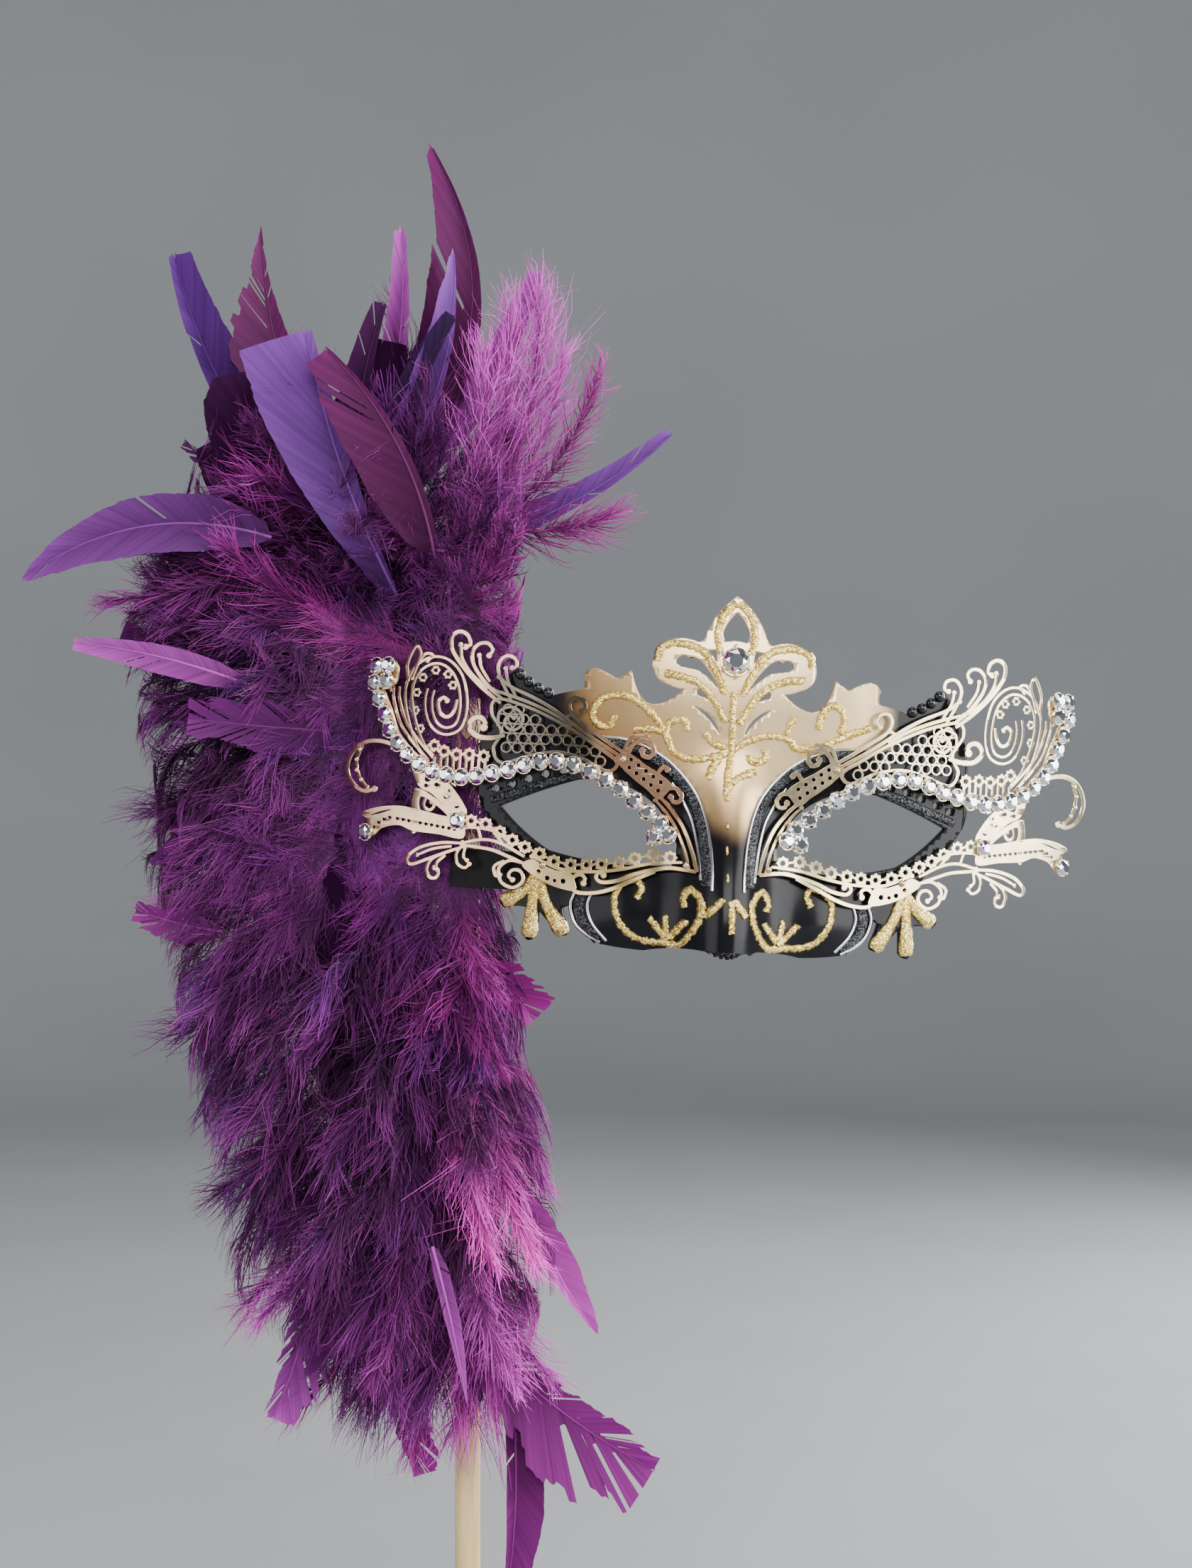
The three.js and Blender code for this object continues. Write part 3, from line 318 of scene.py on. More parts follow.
# Plume: the core's x, y, z and half width up the stick
CORE = np.array([
    (0, 0, 122, 7), (-5, 0, 136, 19), (-12, 0, 162, 29), (-20, 1, 196, 36), (-28, 9, 228, 39),
    (-36, 30, 256, 40), (-40, 41, 292, 41), (-38, 41, 328, 41), (-32, 36, 360, 36), (-27, 31, 386, 25),
    (-22, 28, 408, 8),
], dtype=float)
# The core's depth for its width, and how much of it the near-black core fills, a dark body painted as the
# shade deep in the plume
CORE_DEPTH, CORE_SHARE = 0.72, 0.55
DYES = {
    "plum": (0.036, 0.004, 0.040),
    "purple": (0.080, 0.006, 0.086),
    "slate": (0.030, 0.011, 0.052),
    "violet": (0.078, 0.015, 0.160),
    "iris": (0.150, 0.042, 0.260),
    "wine": (0.082, 0.007, 0.062),
    "pink": (0.300, 0.045, 0.300),
    "magenta": (0.270, 0.014, 0.200),
    "orchid": (0.520, 0.070, 0.460),
    "blush": (0.820, 0.085, 0.600),
    "mulberry": (0.160, 0.012, 0.145),
    "lilac": (0.150, 0.034, 0.205),
}
# Down's dyes from deep to pink, and the share of it that leans to violet
DYE_SCALE = ["plum", "purple", "purple", "magenta", "orchid"]
VIOLET_SHARE = 0.16
# How much pinker down is at the foot and the crest, by height, and to the right, where the pink is painted
# light; then its dimming by height
PINK_FOOT, PINK_CREST = ([95, 160], [0.3, 0]), ([310, 350], [0, 0.2])
PINK_LIGHT_RIGHT = ([-16, 18], [0, 0.55])
DYE_DIM = ([150, 180, 230, 270], [1.0, 0.8, 0.8, 0.95])
# Sides of the plume's down: height, left and right
SIDES = np.array([
    (115, -40, 14), (140, -63, 22), (165, -73, 25), (185, -75, 23), (205, -77, 15), (235, -88, 14),
    (250, -88, 8), (300, -94, 8), (315, -93, 13), (345, -94, 17), (363, -76, 18), (385, -68, 18),
    (420, -60, 10),
], dtype=float)
SIDE_SOFT = 12.0
# Long feathers: root height on the core, tip, bow of the shaft, width, how far the left side is the
# wider one, dye and how the tip ends
LONG_FEATHERS = [
    (345, (-10, 26, 463), -26, 19, 0.7, "wine", "blade"),
    (345, (-83, 20, 430), 8, 14, -0.5, "violet", "square"),
    (345, (-59, 24, 440), 6, 19, 0.4, "wine", "spike"),
    (350, (-24, 14, 416), 3, 8, 0.3, "plum", "square"),
    (345, (-19, 22, 438), -6, 9, 0.4, "pink", "square"),
    (345, (-4, 20, 432), -8, 12, 0.7, "iris", "blade"),
    (350, (-4, 12, 412), 2, 9, 0.3, "slate", "square"),
    (345, (20, 28, 427), -8, 12, 0.3, "pink", "square"),
    (340, (57, 26, 381), -8, 8, 0.3, "iris", "square"),
    (335, (-58, 6, 396), 12, 17, 0.4, "plum", "fold"),
    (330, (-65, 30, 382), 8, 17, 0.4, "plum", "fold"),
]
# Vanes that lie in front: root, tip, then as for the long feathers
FRONT_VANES = [
    ((-20, -9, 334), (-44, -11, 404), 3, 25, 0.65, "iris", "fold"),
    ((-9, -11, 343), (-38, -14, 399), -6, 15, 0.75, "wine", "square"),
    ((-54, -4, 349), (-122, -2, 338), -11, 17, 0.2, "lilac", "blade"),
    ((-62, -4, 309), (-108, 0, 320), -2, 8, 0.2, "pink", "square"),
    ((-28, -14, 296), (-76, -10, 299), 1, 13, 0.0, "purple", "frayed"),
    ((-68, 0, 240), (-92, 4, 246), 1, 8, 0.2, "mulberry", "frayed"),
    ((2, -15, 131), (50, -16, 94), -3, 19, -0.35, "mulberry", "frayed"),
    ((12, -12, 118), (9, -10, 48), 3, 9, 0.4, "mulberry", "blade"),
    ((15, -16, 170), (35, -14, 131), -2, 8, 0.3, "orchid", "blade"),
    ((-42, -10, 154), (-53, -10, 108), 3, 14, 0.3, "pink", "frayed"),
    ((-24, -10, 124), (-13, -10, 92), 1, 9, 0.2, "mulberry", "frayed"),
    ((-9, -50, 160), (0, -52, 119), 1, 4, 0.2, "pink", "blade"),
    ((2, -16, 232), (18, -16, 217), 1, 11, 0.2, "magenta", "frayed"),
]
# Downy feathers that stand out: root, tip, bow, spread, dye, barbs
DOWNY = [
    ((0, 20, 350), (20, 24, 420), -6, 20, "orchid", 480),
    ((-6, 16, 348), (4, 14, 402), -4, 17, "orchid", 330),
    ((-2, 16, 345), (12, 18, 412), -4, 20, "orchid", 420),
    ((4, 18, 350), (27, 24, 402), -4, 15, "orchid", 270),
    ((12, 20, 358), (37, 18, 399), -4, 12, "magenta", 270),
    ((6, 22, 354), (40, 26, 358), -3, 15, "magenta", 270),
    ((-8, -6, 316), (-42, -15, 330), 3, 15, "magenta", 270),
    ((-20, -10, 322), (-66, -10, 346), 4, 15, "magenta", 240),
    ((-4, 2, 330), (10, 2, 352), -2, 12, "magenta", 210),
    ((-58, 0, 341), (-99, 2, 332), 2, 13, "mulberry", 240),
    ((-2, -18, 250), (7, -28, 226), -2, 10, "magenta", 210),
    ((2, -20, 224), (9, -28, 204), -2, 9, "magenta", 210),
    ((3, -24, 204), (6, -32, 156), -3, 16, "blush", 360),
    ((8, -22, 192), (18, -28, 154), -3, 14, "blush", 330),
    ((2, -24, 152), (12, -32, 124), -2, 14, "orchid", 330),
    ((-16, -26, 164), (-24, -34, 124), 2, 13, "mulberry", 270),
    ((-20, -6, 150), (-46, -8, 110), 3, 13, "magenta", 270),
    ((-14, -14, 138), (-15, -18, 100), 2, 13, "magenta", 300),
    ((4, -10, 150), (22, -16, 120), -2, 13, "orchid", 300),
    ((-28, -14, 174), (-56, -12, 136), 3, 14, "orchid", 300),
    ((-34, 4, 172), (-60, 4, 138), 3, 16, "magenta", 270),
    ((-40, 6, 196), (-68, 8, 168), 3, 17, "purple", 270),
    ((-48, 10, 232), (-80, 18, 212), 3, 18, "purple", 270),
    ((-50, 12, 262), (-82, 24, 246), 3, 18, "magenta", 270),
    ((-58, 30, 290), (-90, 34, 274), 3, 18, "purple", 270),
]
# Down that closes thin places: low and high corner of the roots, way, how many feathers
FILLS = [
    ((-26, 8, 304), (8, 32, 350), (0.1, -0.5, 0.4), 62),
    ((-80, 8, 314), (-48, 36, 348), (-0.9, -0.3, 0.1), 36),
    ((-42, -4, 254), (-6, 8, 320), (-0.5, -0.6, -0.4), 62),
    ((-64, 44, 256), (-14, 58, 364), (-0.1, 0.8, 0.0), 60),
    ((-34, 12, 180), (2, 24, 256), (-0.1, 0.8, -0.5), 34),
    ((-2, -10, 214), (6, -6, 264), (0.15, -0.4, -0.6), 22),
]
# How a vane ends: its width from root to tip, slits a side, looseness of the locks, raggedness of the rim
TIP_SHAPES = {
    "blade": (([0, 0.12, 0.4, 0.7, 0.88, 1], [0.35, 0.8, 1, 0.82, 0.5, 0.1]), 1, 0.4, 0.015),
    "square": (([0, 0.12, 0.35, 0.8, 0.95, 1], [0.4, 0.8, 1, 0.95, 0.85, 0.7]), 2, 0.3, 0.01),
    "frayed": (([0, 0.15, 0.45, 0.75, 0.92, 1], [0.4, 0.8, 1, 1, 0.8, 0.45]), 9, 0.7, 0.09),
    "fold": (([0, 0.3, 0.6, 0.9, 1], [0.12, 0.55, 1, 0.9, 0.75]), 0, 0.1, 0.005),
    "spike": (([0, 0.15, 0.4, 0.7, 1], [0.4, 0.9, 1, 0.5, 0.02]), 4, 0.35, 0.06),
}
# Along a vane, from root to tip: the barbs' angle to the shaft, and painted shade and light, darker at the
# root deep in the plume and lighter at the tip
VANE_ANGLE = ([0, 0.5, 1], [50, 34, 12])
VANE_SHADE_TO_LIGHT = ([0, 0.5, 0.9, 1], [0.4, 0.8, 1.05, 1.3])
# Along a downy feather the barbs' length, and along a barb its width and painted shade and light, dark by
# the shaft and light at the tip
DOWN_LEAF = ([0, 0.2, 0.7, 1], [0.6, 1, 0.9, 0.55])
BARB_TAPER = ([0, 0.6, 1], [1.0, 0.8, 0.3])
BARB_SHADE_TO_LIGHT = ([0, 0.4, 1], [0.45, 0.9, 1.35])
# Feathers of the body: heights of their roots, how many, the share in front and their lean by height
BODY_LOW, BODY_HIGH = 130, 366
BODY_VANES, BODY_FLUFF, BODY_BARBS = 14, 455, 110
FRONT_SHARE = 0.4
FLOW = ([122, 190, 250, 300, 335, 365, 400], [-1.5, -1.05, -0.6, -0.25, 0.15, 0.8, 1.6])
STICK_FLUFF = 130
# The pieces of down from the top, and the heights that part them
FLUFF_NAMES = ("crest", "upper", "middle", "lower", "tail")
FLUFF_FLOORS = (332, 285, 235, 185)
# What is pressed behind the mask's wing, in the mask frame, and how far back and forward the plume goes
WING_LOW, WING_HIGH, WING_INNER, WING_OUTER, WING_CLEAR = -26.0, 54.0, 30.0, 106.0, 2.6
WING_EASE, WING_EASE_Z, WING_PRESS = 55.0, 18.0, 1.2
BACK_SOFT, BACK_HARD = 72.0, 92.0
FRONT_SOFT, FRONT_HARD = -36.0, -50.0

# Studio, in metres and watts: name, place, size and power of each lamp
LAMP_AIM = (0.03, 0.0, 0.28)
LAMPS = [
    ("key", (1.45, -0.65, 0.6), (1.2, 1.3), 40),
    ("front", (0.2, -1.5, 1.05), (1.3, 0.8), 26),
    ("rim", (0.9, 0.7, 0.55), (0.5, 0.8), 20),
    ("fill", (-1.3, -0.8, 0.5), (0.9, 1.1), 8),
    ("top", (0.0, -0.2, 1.6), (0.9, 0.9), 6),
]


# Curves in the mask's flat frame
def eased(t):
    """A smooth step from 0 to 1."""
    t = np.clip(t, 0, 1)
    return t * t * (3 - 2 * t)


def smooth_line(points, step, closed=False):
    """A smooth line through points, as an array with a point every step."""
    p = np.asarray(points, dtype=float)
    if len(p) == 2:
        dense = np.linspace(p[0], p[1], 24)
    else:
        ends = (p[-1:], p[:2]) if closed else (2 * p[:1] - p[1:2], 2 * p[-1:] - p[-2:-1])
        q = np.concatenate([ends[0], p, ends[1]])
        t = np.linspace(0, 1, 20, endpoint=False)[:, None]
        pieces = []
        for a, b, c, d in zip(q, q[1:], q[2:], q[3:]):
            bend = 2 * a - 5 * b + 4 * c - d
            twist = 3 * b - a - 3 * c + d
            pieces.append(0.5 * (2 * b + (c - a) * t + bend * t ** 2 + twist * t ** 3))
        dense = np.concatenate(pieces + ([] if closed else [p[-1:]]))
    along = np.concatenate([[0], np.cumsum(np.linalg.norm(np.diff(dense, axis=0), axis=1))])
    count = max(2, int(round(along[-1] / step)) + 1)
    at = np.linspace(0, along[-1], count)
    return np.stack([np.interp(at, along, dense[:, k]) for k in range(dense.shape[1])], axis=1)


def offset_line(line, gap):
    """The line moved sideways by gap."""
    along = np.gradient(line, axis=0)
    along /= np.linalg.norm(along, axis=1, keepdims=True)
    return line + gap * np.stack([-along[:, 1], along[:, 0]], axis=1)


def bulged(rows, step=0.9):
    """A closed outline whose stretches bulge out as circular arcs."""
    points = []
    for i, (x, z, bulge) in enumerate(rows):
        start = np.array((x, z), dtype=float)
        chord = np.array(rows[(i + 1) % len(rows)][:2], dtype=float) - start
        half = np.linalg.norm(chord) / 2
        out = np.array((-chord[1], chord[0])) / (2 * half)
        steps = max(1, int(round(2 * half / step)))
        for k in range(steps):
            share = k / steps
            points.append(start + chord * share + out * bulge * (1 - (2 * share - 1) ** 2))
    return np.array(points)


def mirrored(rows):
    """Both halves of a half outline."""
    back = [(-x, z, rows[i - 1][2]) for i, (x, z, _) in list(enumerate(rows))[:0:-1]]
    return [*rows, *back]


def handed(points, side):
    return [(side * x, *rest) for x, *rest in points]


def ring(x, z, radius, count=14):
    angle = np.linspace(0, 2 * math.pi, count, endpoint=False)
    return np.stack([x + radius * np.cos(angle), z + radius * np.sin(angle)], axis=1)


def inside(point, corners):
    """Distance from a point to a plate's rim, below zero outside."""
    a = np.asarray(corners, dtype=float)
    b = np.roll(a, -1, axis=0)
    edge = b - a
    share = np.clip(((point - a) * edge).sum(1) / (edge ** 2).sum(1), 0, 1)
    near = np.linalg.norm(point - a - edge * share[:, None], axis=1).min()
    crossing = (a[:, 1] > point[1]) != (b[:, 1] > point[1])
    rise = np.where(edge[:, 1] == 0, 1, edge[:, 1])
    hits = crossing & (point[0] < a[:, 0] + (point[1] - a[:, 1]) / rise * edge[:, 0])
    return near if hits.sum() % 2 else -near


# The mask's skin and how flat work is laid on it
def skin(x, z):
    """Depth of the mask's front behind the brow."""
    share = eased((NOSE_TOP - z) / (NOSE_TOP - NOSE_LOW))
    half = NOSE_HALF_TOP + (NOSE_HALF_LOW - NOSE_HALF_TOP) * share
    nose = NOSE_RISE * share * np.exp(-((x / half) ** 2))
    far = np.hypot(np.abs(x) - CHEEK_X, z - CHEEK_Z) / CHEEK_HALF
    lean = CROWN_LEAN * np.maximum(0, z - CROWN_FROM) ** 2
    return SWEEP * x * x + lean - nose - CHEEK_RISE * np.exp(-far * far)


def to_row(x, depth, z):
    """Mask frame in millimetres to the row frame in metres."""
    across = MASK_AT[0] + x * math.cos(ROLL) + z * math.sin(ROLL)
    up = MASK_AT[2] - x * math.sin(ROLL) + z * math.cos(ROLL)
    return np.stack([across, MASK_AT[1] + depth, up], axis=-1) * MM


def mask_spot(points):
    """The mask frame's x and z of points in the row frame, in millimetres."""
    right, up = points[:, 0] - MASK_AT[0], points[:, 2] - MASK_AT[2]
    return right * math.cos(ROLL) - up * math.sin(ROLL), right * math.sin(ROLL) + up * math.cos(ROLL)


def mesh_points(mesh):
    points = np.empty(len(mesh.vertices) * 3)
    mesh.vertices.foreach_get("co", points)
    return points.reshape(-1, 3)


def set_points(mesh, points):
    mesh.vertices.foreach_set("co", np.ascontiguousarray(points).ravel())
    mesh.update()


def lay_on_mask(mesh, lift, flat=1.0):
    """Bends flat work over the mask; its own z becomes height above the skin."""
    p = mesh_points(mesh)
    set_points(mesh, to_row(p[:, 0], skin(p[:, 0], p[:, 1]) - lift - flat * p[:, 2], p[:, 1]))
    return mesh


# Meshes and objects
def paint_points(mesh, name, values):
    """Keeps a number or a colour for each point, for a finish to read."""
    values = np.asarray(values, dtype=np.float32)
    if values.ndim == 1:
        mesh.attributes.new(name, "FLOAT", "POINT").data.foreach_set("value", values)
        return
    rgba = np.ones((len(values), 4), dtype=np.float32)
    rgba[:, :3] = values
    mesh.attributes.new(name, "FLOAT_COLOR", "POINT").data.foreach_set("color", rgba.ravel())


def set_smooth(mesh, smooth):
    mesh.polygons.foreach_set("use_smooth", np.full(len(mesh.polygons), smooth))


def open_mesh(mesh):
    """A bmesh in which to work on a mesh."""
    bm = bmesh.new()
    bm.from_mesh(mesh)
    return bm


def close_mesh(bm, mesh):
    """Puts the work into the mesh."""
    bm.to_mesh(mesh)
    bm.free()
    return mesh


def add_object(name, data):
    made = bpy.data.objects.new(name, data)
    bpy.context.collection.objects.link(made)
    return made


def new_curve(name, dimensions, **settings):
    curve = bpy.data.curves.new(name, "CURVE")
    curve.dimensions = dimensions
    for key, value in settings.items():
        setattr(curve, key, value)
    return curve


def curve_mesh(curve):
    """The mesh that a curve makes; the curve itself goes."""
    holder = add_object("holder", curve)
    graph = bpy.context.evaluated_depsgraph_get()
    mesh = bpy.data.meshes.new_from_object(holder.evaluated_get(graph))
    bpy.data.objects.remove(holder)
    bpy.data.curves.remove(curve)
    return mesh


def add_spline(curve, points, radii=None, closed=False):
    spline = curve.splines.new("POLY")
    spline.points.add(len(points) - 1)
    flat = np.zeros((len(points), 4))
    flat[:, : points.shape[1]] = points
    flat[:, 3] = 1
    spline.points.foreach_set("co", flat.ravel())
    if radii is not None:
        spline.points.foreach_set("radius", np.broadcast_to(radii, len(points)).astype(float).copy())
    spline.use_cyclic_u = closed


def wire_mesh(wires, resolution=1):
    """Round wires as one mesh; each wire is (points, radii, closed)."""
    curve = new_curve("wires", "3D", bevel_depth=1.0, bevel_resolution=resolution, use_fill_caps=True)
    for points, radii, closed in wires:
        add_spline(curve, points, radii, closed)
    return curve_mesh(curve)


STRIP_EDGE = [(1, 0.16), (0.74, 0.42), (-0.74, 0.42), (-1, 0.16), (-1, -0.3), (1, -0.3)]


def strip_mesh(strips):
    """Flat strips with bevelled edges, cut from sheet; each is (points, half widths, closed)."""
    outline = new_curve("strip edge", "2D", fill_mode="NONE")
    add_spline(outline, np.array(STRIP_EDGE, dtype=float), closed=True)
    edge = add_object("strip edge", outline)
    curve = new_curve(
        "strips", "2D", fill_mode="NONE", bevel_mode="OBJECT", bevel_object=edge, use_fill_caps=True,
    )
    for points, halves, closed in strips:
        add_spline(curve, points, halves, closed)
    mesh = curve_mesh(curve)
    bpy.data.objects.remove(edge)
    bpy.data.curves.remove(outline)
    bm = open_mesh(mesh)
    bmesh.ops.remove_doubles(bm, verts=bm.verts, dist=1e-5)
    bmesh.ops.recalc_face_normals(bm, faces=bm.faces)
    return close_mesh(bm, mesh)


def sheet_mesh(outlines, thick=0.0, rounding=0.0):
    """A flat sheet with holes, filled between its closed outlines."""
    curve = new_curve(
        "sheet", "2D", fill_mode="BOTH", extrude=thick / 2, bevel_depth=rounding, bevel_resolution=0,
    )
    for points in outlines:
        add_spline(curve, np.asarray(points, dtype=float), closed=True)
    return curve_mesh(curve)


def cut_cells(bm, low, high, step):
    """Cuts a flat mesh into cells, so that it can bend."""
    for axis in range(2):
        normal = [0, 0, 0]
        normal[axis] = 1
        for at in np.arange(low[axis] + step, high[axis], step):
            place = [0, 0, 0]
            place[axis] = at
            geom = bm.verts[:] + bm.edges[:] + bm.faces[:]
            bmesh.ops.bisect_plane(bm, geom=geom, dist=1e-4, plane_co=place, plane_no=normal)


def new_piece(name, mesh, finishes, slot, *nodes):
    """A finished piece that rides on the part and may stand for CAD nodes."""
    mesh.name = name
    piece = add_object(name, mesh)
    mesh.materials.clear()
    for material in finishes if isinstance(finishes, list) else [finishes]:
        mesh.materials.append(material)
    set_smooth(mesh, True)
    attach(piece, "root")
    if nodes:
        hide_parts(*nodes)
    return piece


def sharp_by_angle(mesh, degrees):
    """Keeps the edges sharp that turn by more than an angle."""
    bm = open_mesh(mesh)
    limit = math.radians(degrees)
    for edge in bm.edges:
        edge.smooth = len(edge.link_faces) == 2 and edge.calc_face_angle(0) < limit
    close_mesh(bm, mesh)


def joined_mesh(name, meshes):
    bm = bmesh.new()
    for mesh in meshes:
        bm.from_mesh(mesh)
        bpy.data.meshes.remove(mesh)
    return close_mesh(bm, bpy.data.meshes.new(name))


# Finishes
class Value:
    """A socket in an expression; its operators add Math nodes."""

    def __init__(self, finish, socket):
        self.finish = finish
        self.socket = socket

    def math(self, operation, *terms):
        return self.finish.node("ShaderNodeMath", {"operation": operation}, *terms)

    def __add__(self, other):
        return self.math("ADD", self, other)

    def __radd__(self, other):
        return self.math("ADD", other, self)

    def __sub__(self, other):
        return self.math("SUBTRACT", self, other)

    def __rsub__(self, other):
        return self.math("SUBTRACT", other, self)

    def __mul__(self, other):
        return self.math("MULTIPLY", self, other)

    def __rmul__(self, other):
        return self.math("MULTIPLY", other, self)

    def clamp(self, low, high):
        """0 at low, 1 at high."""
        settings = {"interpolation_type": "SMOOTHSTEP"}
        return self.finish.node("ShaderNodeMapRange", settings, self, low, high, 0.0, 1.0)


class Finish:
    """One material and its nodes."""

    def __init__(self, name, **constants):
        self.material = bpy.data.materials.new(name)
        self.material.use_nodes = True
        self.tree = self.material.node_tree
        self.shader = self.tree.nodes["Principled BSDF"]
        for key, value in constants.items():
            self.put(key.replace("_", " ").title().replace("Ior", "IOR"), value)

    def fill(self, socket, value):
        """Links a value to a socket, or sets the socket to it."""
        if isinstance(value, Value):
            self.tree.links.new(value.socket, socket)
        elif value is not None:
            socket.default_value = (*value, 1.0) if socket.type == "RGBA" else value

    def put(self, name, value):
        self.fill(self.shader.inputs[name], value)

    def node(self, kind, settings=None, *sockets, out=0, **named):
        """A node of a kind with its settings and the values or links of its sockets."""
        made = self.tree.nodes.new(kind)
        for key, value in (settings or {}).items():
            setattr(made, key, value)
        for key, value in [*enumerate(sockets), *named.items()]:
            self.fill(made.inputs[key], value)
        return Value(self, made.outputs[out])

    def place(self):
        return self.node("ShaderNodeTexCoord", out="Object")

    def noise(self, scale, detail=3.0):
        return self.node("ShaderNodeTexNoise", {}, Vector=self.place(), Scale=scale, Detail=detail)

    def mix(self, share, a, b):
        """Colour a to colour b by share."""
        unused = (None,) * 5
        return self.node("ShaderNodeMix", {"data_type": "RGBA"}, share, *unused, a, b, out=2)

    def vector(self, operation, *terms, **named):
        return self.node("ShaderNodeVectorMath", {"operation": operation}, *terms, **named)

    def painted(self, name, out):
        """What is painted on the mesh under a name."""
        return self.node("ShaderNodeAttribute", {"attribute_name": name}, out=out)

    def bump(self, height, strength, distance=0.0002, **named):
        return self.node("ShaderNodeBump", {}, Strength=strength, Distance=distance, Height=height, **named)


def gilt(f, pale, deep):
    """Polished gilt metal with a faint patina."""
    f.put("Base Color", f.mix(f.noise(90.0, detail=4.0).clamp(0.3, 0.7), deep, pale))
    f.put("Roughness", 0.16 + 0.14 * f.noise(700.0))
    return f.material


def lace_finish():
    """Polished gilt sheet; its tone is painted over the lace."""
    f = Finish("lace_gilt", metallic=1.0)
    tone = f.painted("tone", "Color")
    return gilt(f, tone, f.vector("SCALE", tone, Scale=0.72))


def gilt_finish(name, pale, deep):
    """Gilt metal of one tone."""
    return gilt(Finish(name, metallic=1.0), pale, deep)


def glitter_finish(name, dark, bright, grain, lean, metallic):
    """Flakes of glitter, each leaning its own way."""
    f = Finish(name, metallic=metallic, roughness=0.22)
    cell = f.node("ShaderNodeTexVoronoi", {}, out="Color", Vector=f.place(), Scale=grain)
    far = f.node("ShaderNodeTexVoronoi", {}, out="Distance", Vector=f.place(), Scale=grain)
    shade = f.node("ShaderNodeSeparateColor", {}, cell)
    f.put("Base Color", f.mix(shade.clamp(0.15, 0.85), dark, bright))
    tilt = f.vector("SCALE", f.vector("SUBTRACT", cell, (0.5, 0.5, 0.5)), Scale=lean)
    facing = f.node("ShaderNodeNewGeometry", out="Normal")
    turned = f.vector("NORMALIZE", f.vector("ADD", facing, tilt))
    f.put("Normal", f.bump(1.0 - far, strength=0.5, Normal=turned))
    return f.material


def shell_finish():
    """Champagne gold paint that fades to gloss black, with painted shade that blackens the left side and
    painted light that pales the gold to the right and top.
    """
    f = Finish("shell_paint", coat_roughness=0.05, specular_ior_level=0.2)
    gold = f.painted("gold", "Fac")
    # Painted light and shade pick the pale or the brown gold.
    metal = f.mix(f.painted("gold_lighting", "Fac"), (0.42, 0.21, 0.07), (0.99, 0.73, 0.41))
    f.put("Base Color", f.mix(gold, (0.006, 0.006, 0.008), metal))
    f.put("Metallic", 0.72 * gold)
    f.put("Roughness", 0.16 + 0.1 * gold + 0.08 * f.noise(260.0))
    f.put("Coat Weight", 0.15 * gold)
    f.put("Normal", f.bump(f.noise(900.0, detail=2.0), strength=0.05))
    return f.material


def plain_finish(name, colour, roughness, metallic=0.0, grain=400.0, **more):
    """A plain surface with a little unevenness."""
    f = Finish(name, metallic=metallic, **more)
    dim = tuple(0.8 * c for c in colour)
    f.put("Base Color", f.mix(f.noise(grain * 0.25), dim, colour))
    f.put("Roughness", roughness * 0.8 + roughness * 0.4 * f.noise(grain))
    return f.material


def feather_finish(name, roughness, gloss):
    """Dyed feather; the dye is painted barb by barb."""
    f = Finish(name, roughness=roughness, specular_ior_level=gloss, sheen_weight=0.25, sheen_roughness=0.4)
    f.put("Sheen Tint", (0.9, 0.3, 0.85))
    f.put("Base Color", f.painted("dye", "Color"))
    return f.material


def wood_finish():
    """Pale dowel with long grain."""
    f = Finish("dowel_wood", specular_ior_level=0.35)
    stretched = f.node("ShaderNodeMapping", {}, Vector=f.place(), Scale=(1.0, 1.0, 0.06))
    fibre = f.node("ShaderNodeTexNoise", {}, Vector=stretched, Scale=1500.0, Detail=4.0)
    year = f.node("ShaderNodeTexNoise", {}, Vector=stretched, Scale=420.0, Detail=2.0)
    pale = f.mix(year.clamp(0.35, 0.65), (0.7, 0.49, 0.21), (0.86, 0.66, 0.32))
    f.put("Base Color", f.mix(fibre.clamp(0.62, 0.8), pale, (0.5, 0.31, 0.14)))
    f.put("Roughness", 0.45 + 0.2 * fibre)
    f.put("Normal", f.bump(fibre, strength=0.25))
    return f.material


LACE_GILT = lace_finish()
GILT = gilt_finish("rose_gilt", (0.88, 0.65, 0.4), (0.58, 0.36, 0.18))
CUP_GILT = gilt_finish("cup_gilt", (0.95, 0.86, 0.7), (0.8, 0.62, 0.4))
GOLD_GLITTER = glitter_finish(
    "gold_glitter", (0.7, 0.44, 0.08), (1.0, 0.82, 0.3), grain=2400.0, lean=0.8, metallic=0.75,
)
BLACK_GLITTER = glitter_finish(
    "black_glitter", (0.004, 0.004, 0.006), (0.05, 0.055, 0.065), grain=2600.0, lean=1.2, metallic=0.3,
)
SHELL = shell_finish()
SHELL_BACK = plain_finish("shell_back", (0.012, 0.012, 0.014), roughness=0.45, specular_ior_level=0.3)
SILVER = plain_finish("silver_line", (0.86, 0.86, 0.87), roughness=0.16, metallic=1.0)
BEAD_BLACK = plain_finish("bead_black", (0.01, 0.01, 0.012), roughness=0.1)
TAB_BLACK = plain_finish("tab_black", (0.006, 0.006, 0.007), roughness=0.4, specular_ior_level=0.12)
CRYSTAL = plain_finish(
    "crystal_foil", (0.95, 0.96, 1.0), roughness=0.03, metallic=1.0, coat_weight=1.0, coat_roughness=0.02,
)
FEATHER = feather_finish("dyed_vane", roughness=0.5, gloss=0.08)
FLUFF = feather_finish("dyed_fluff", roughness=0.6, gloss=0.2)
# Painted shade: the near-black body stands for the shade deep inside the plume.
CORE_SHADE = plain_finish("plume_shade_fill", (0.02, 0.003, 0.022), roughness=0.95, specular_ior_level=0.0)
WOOD = wood_finish()
BACKDROP = plain_finish("pale_backdrop", (0.42, 0.435, 0.45), roughness=0.8, grain=12.0)


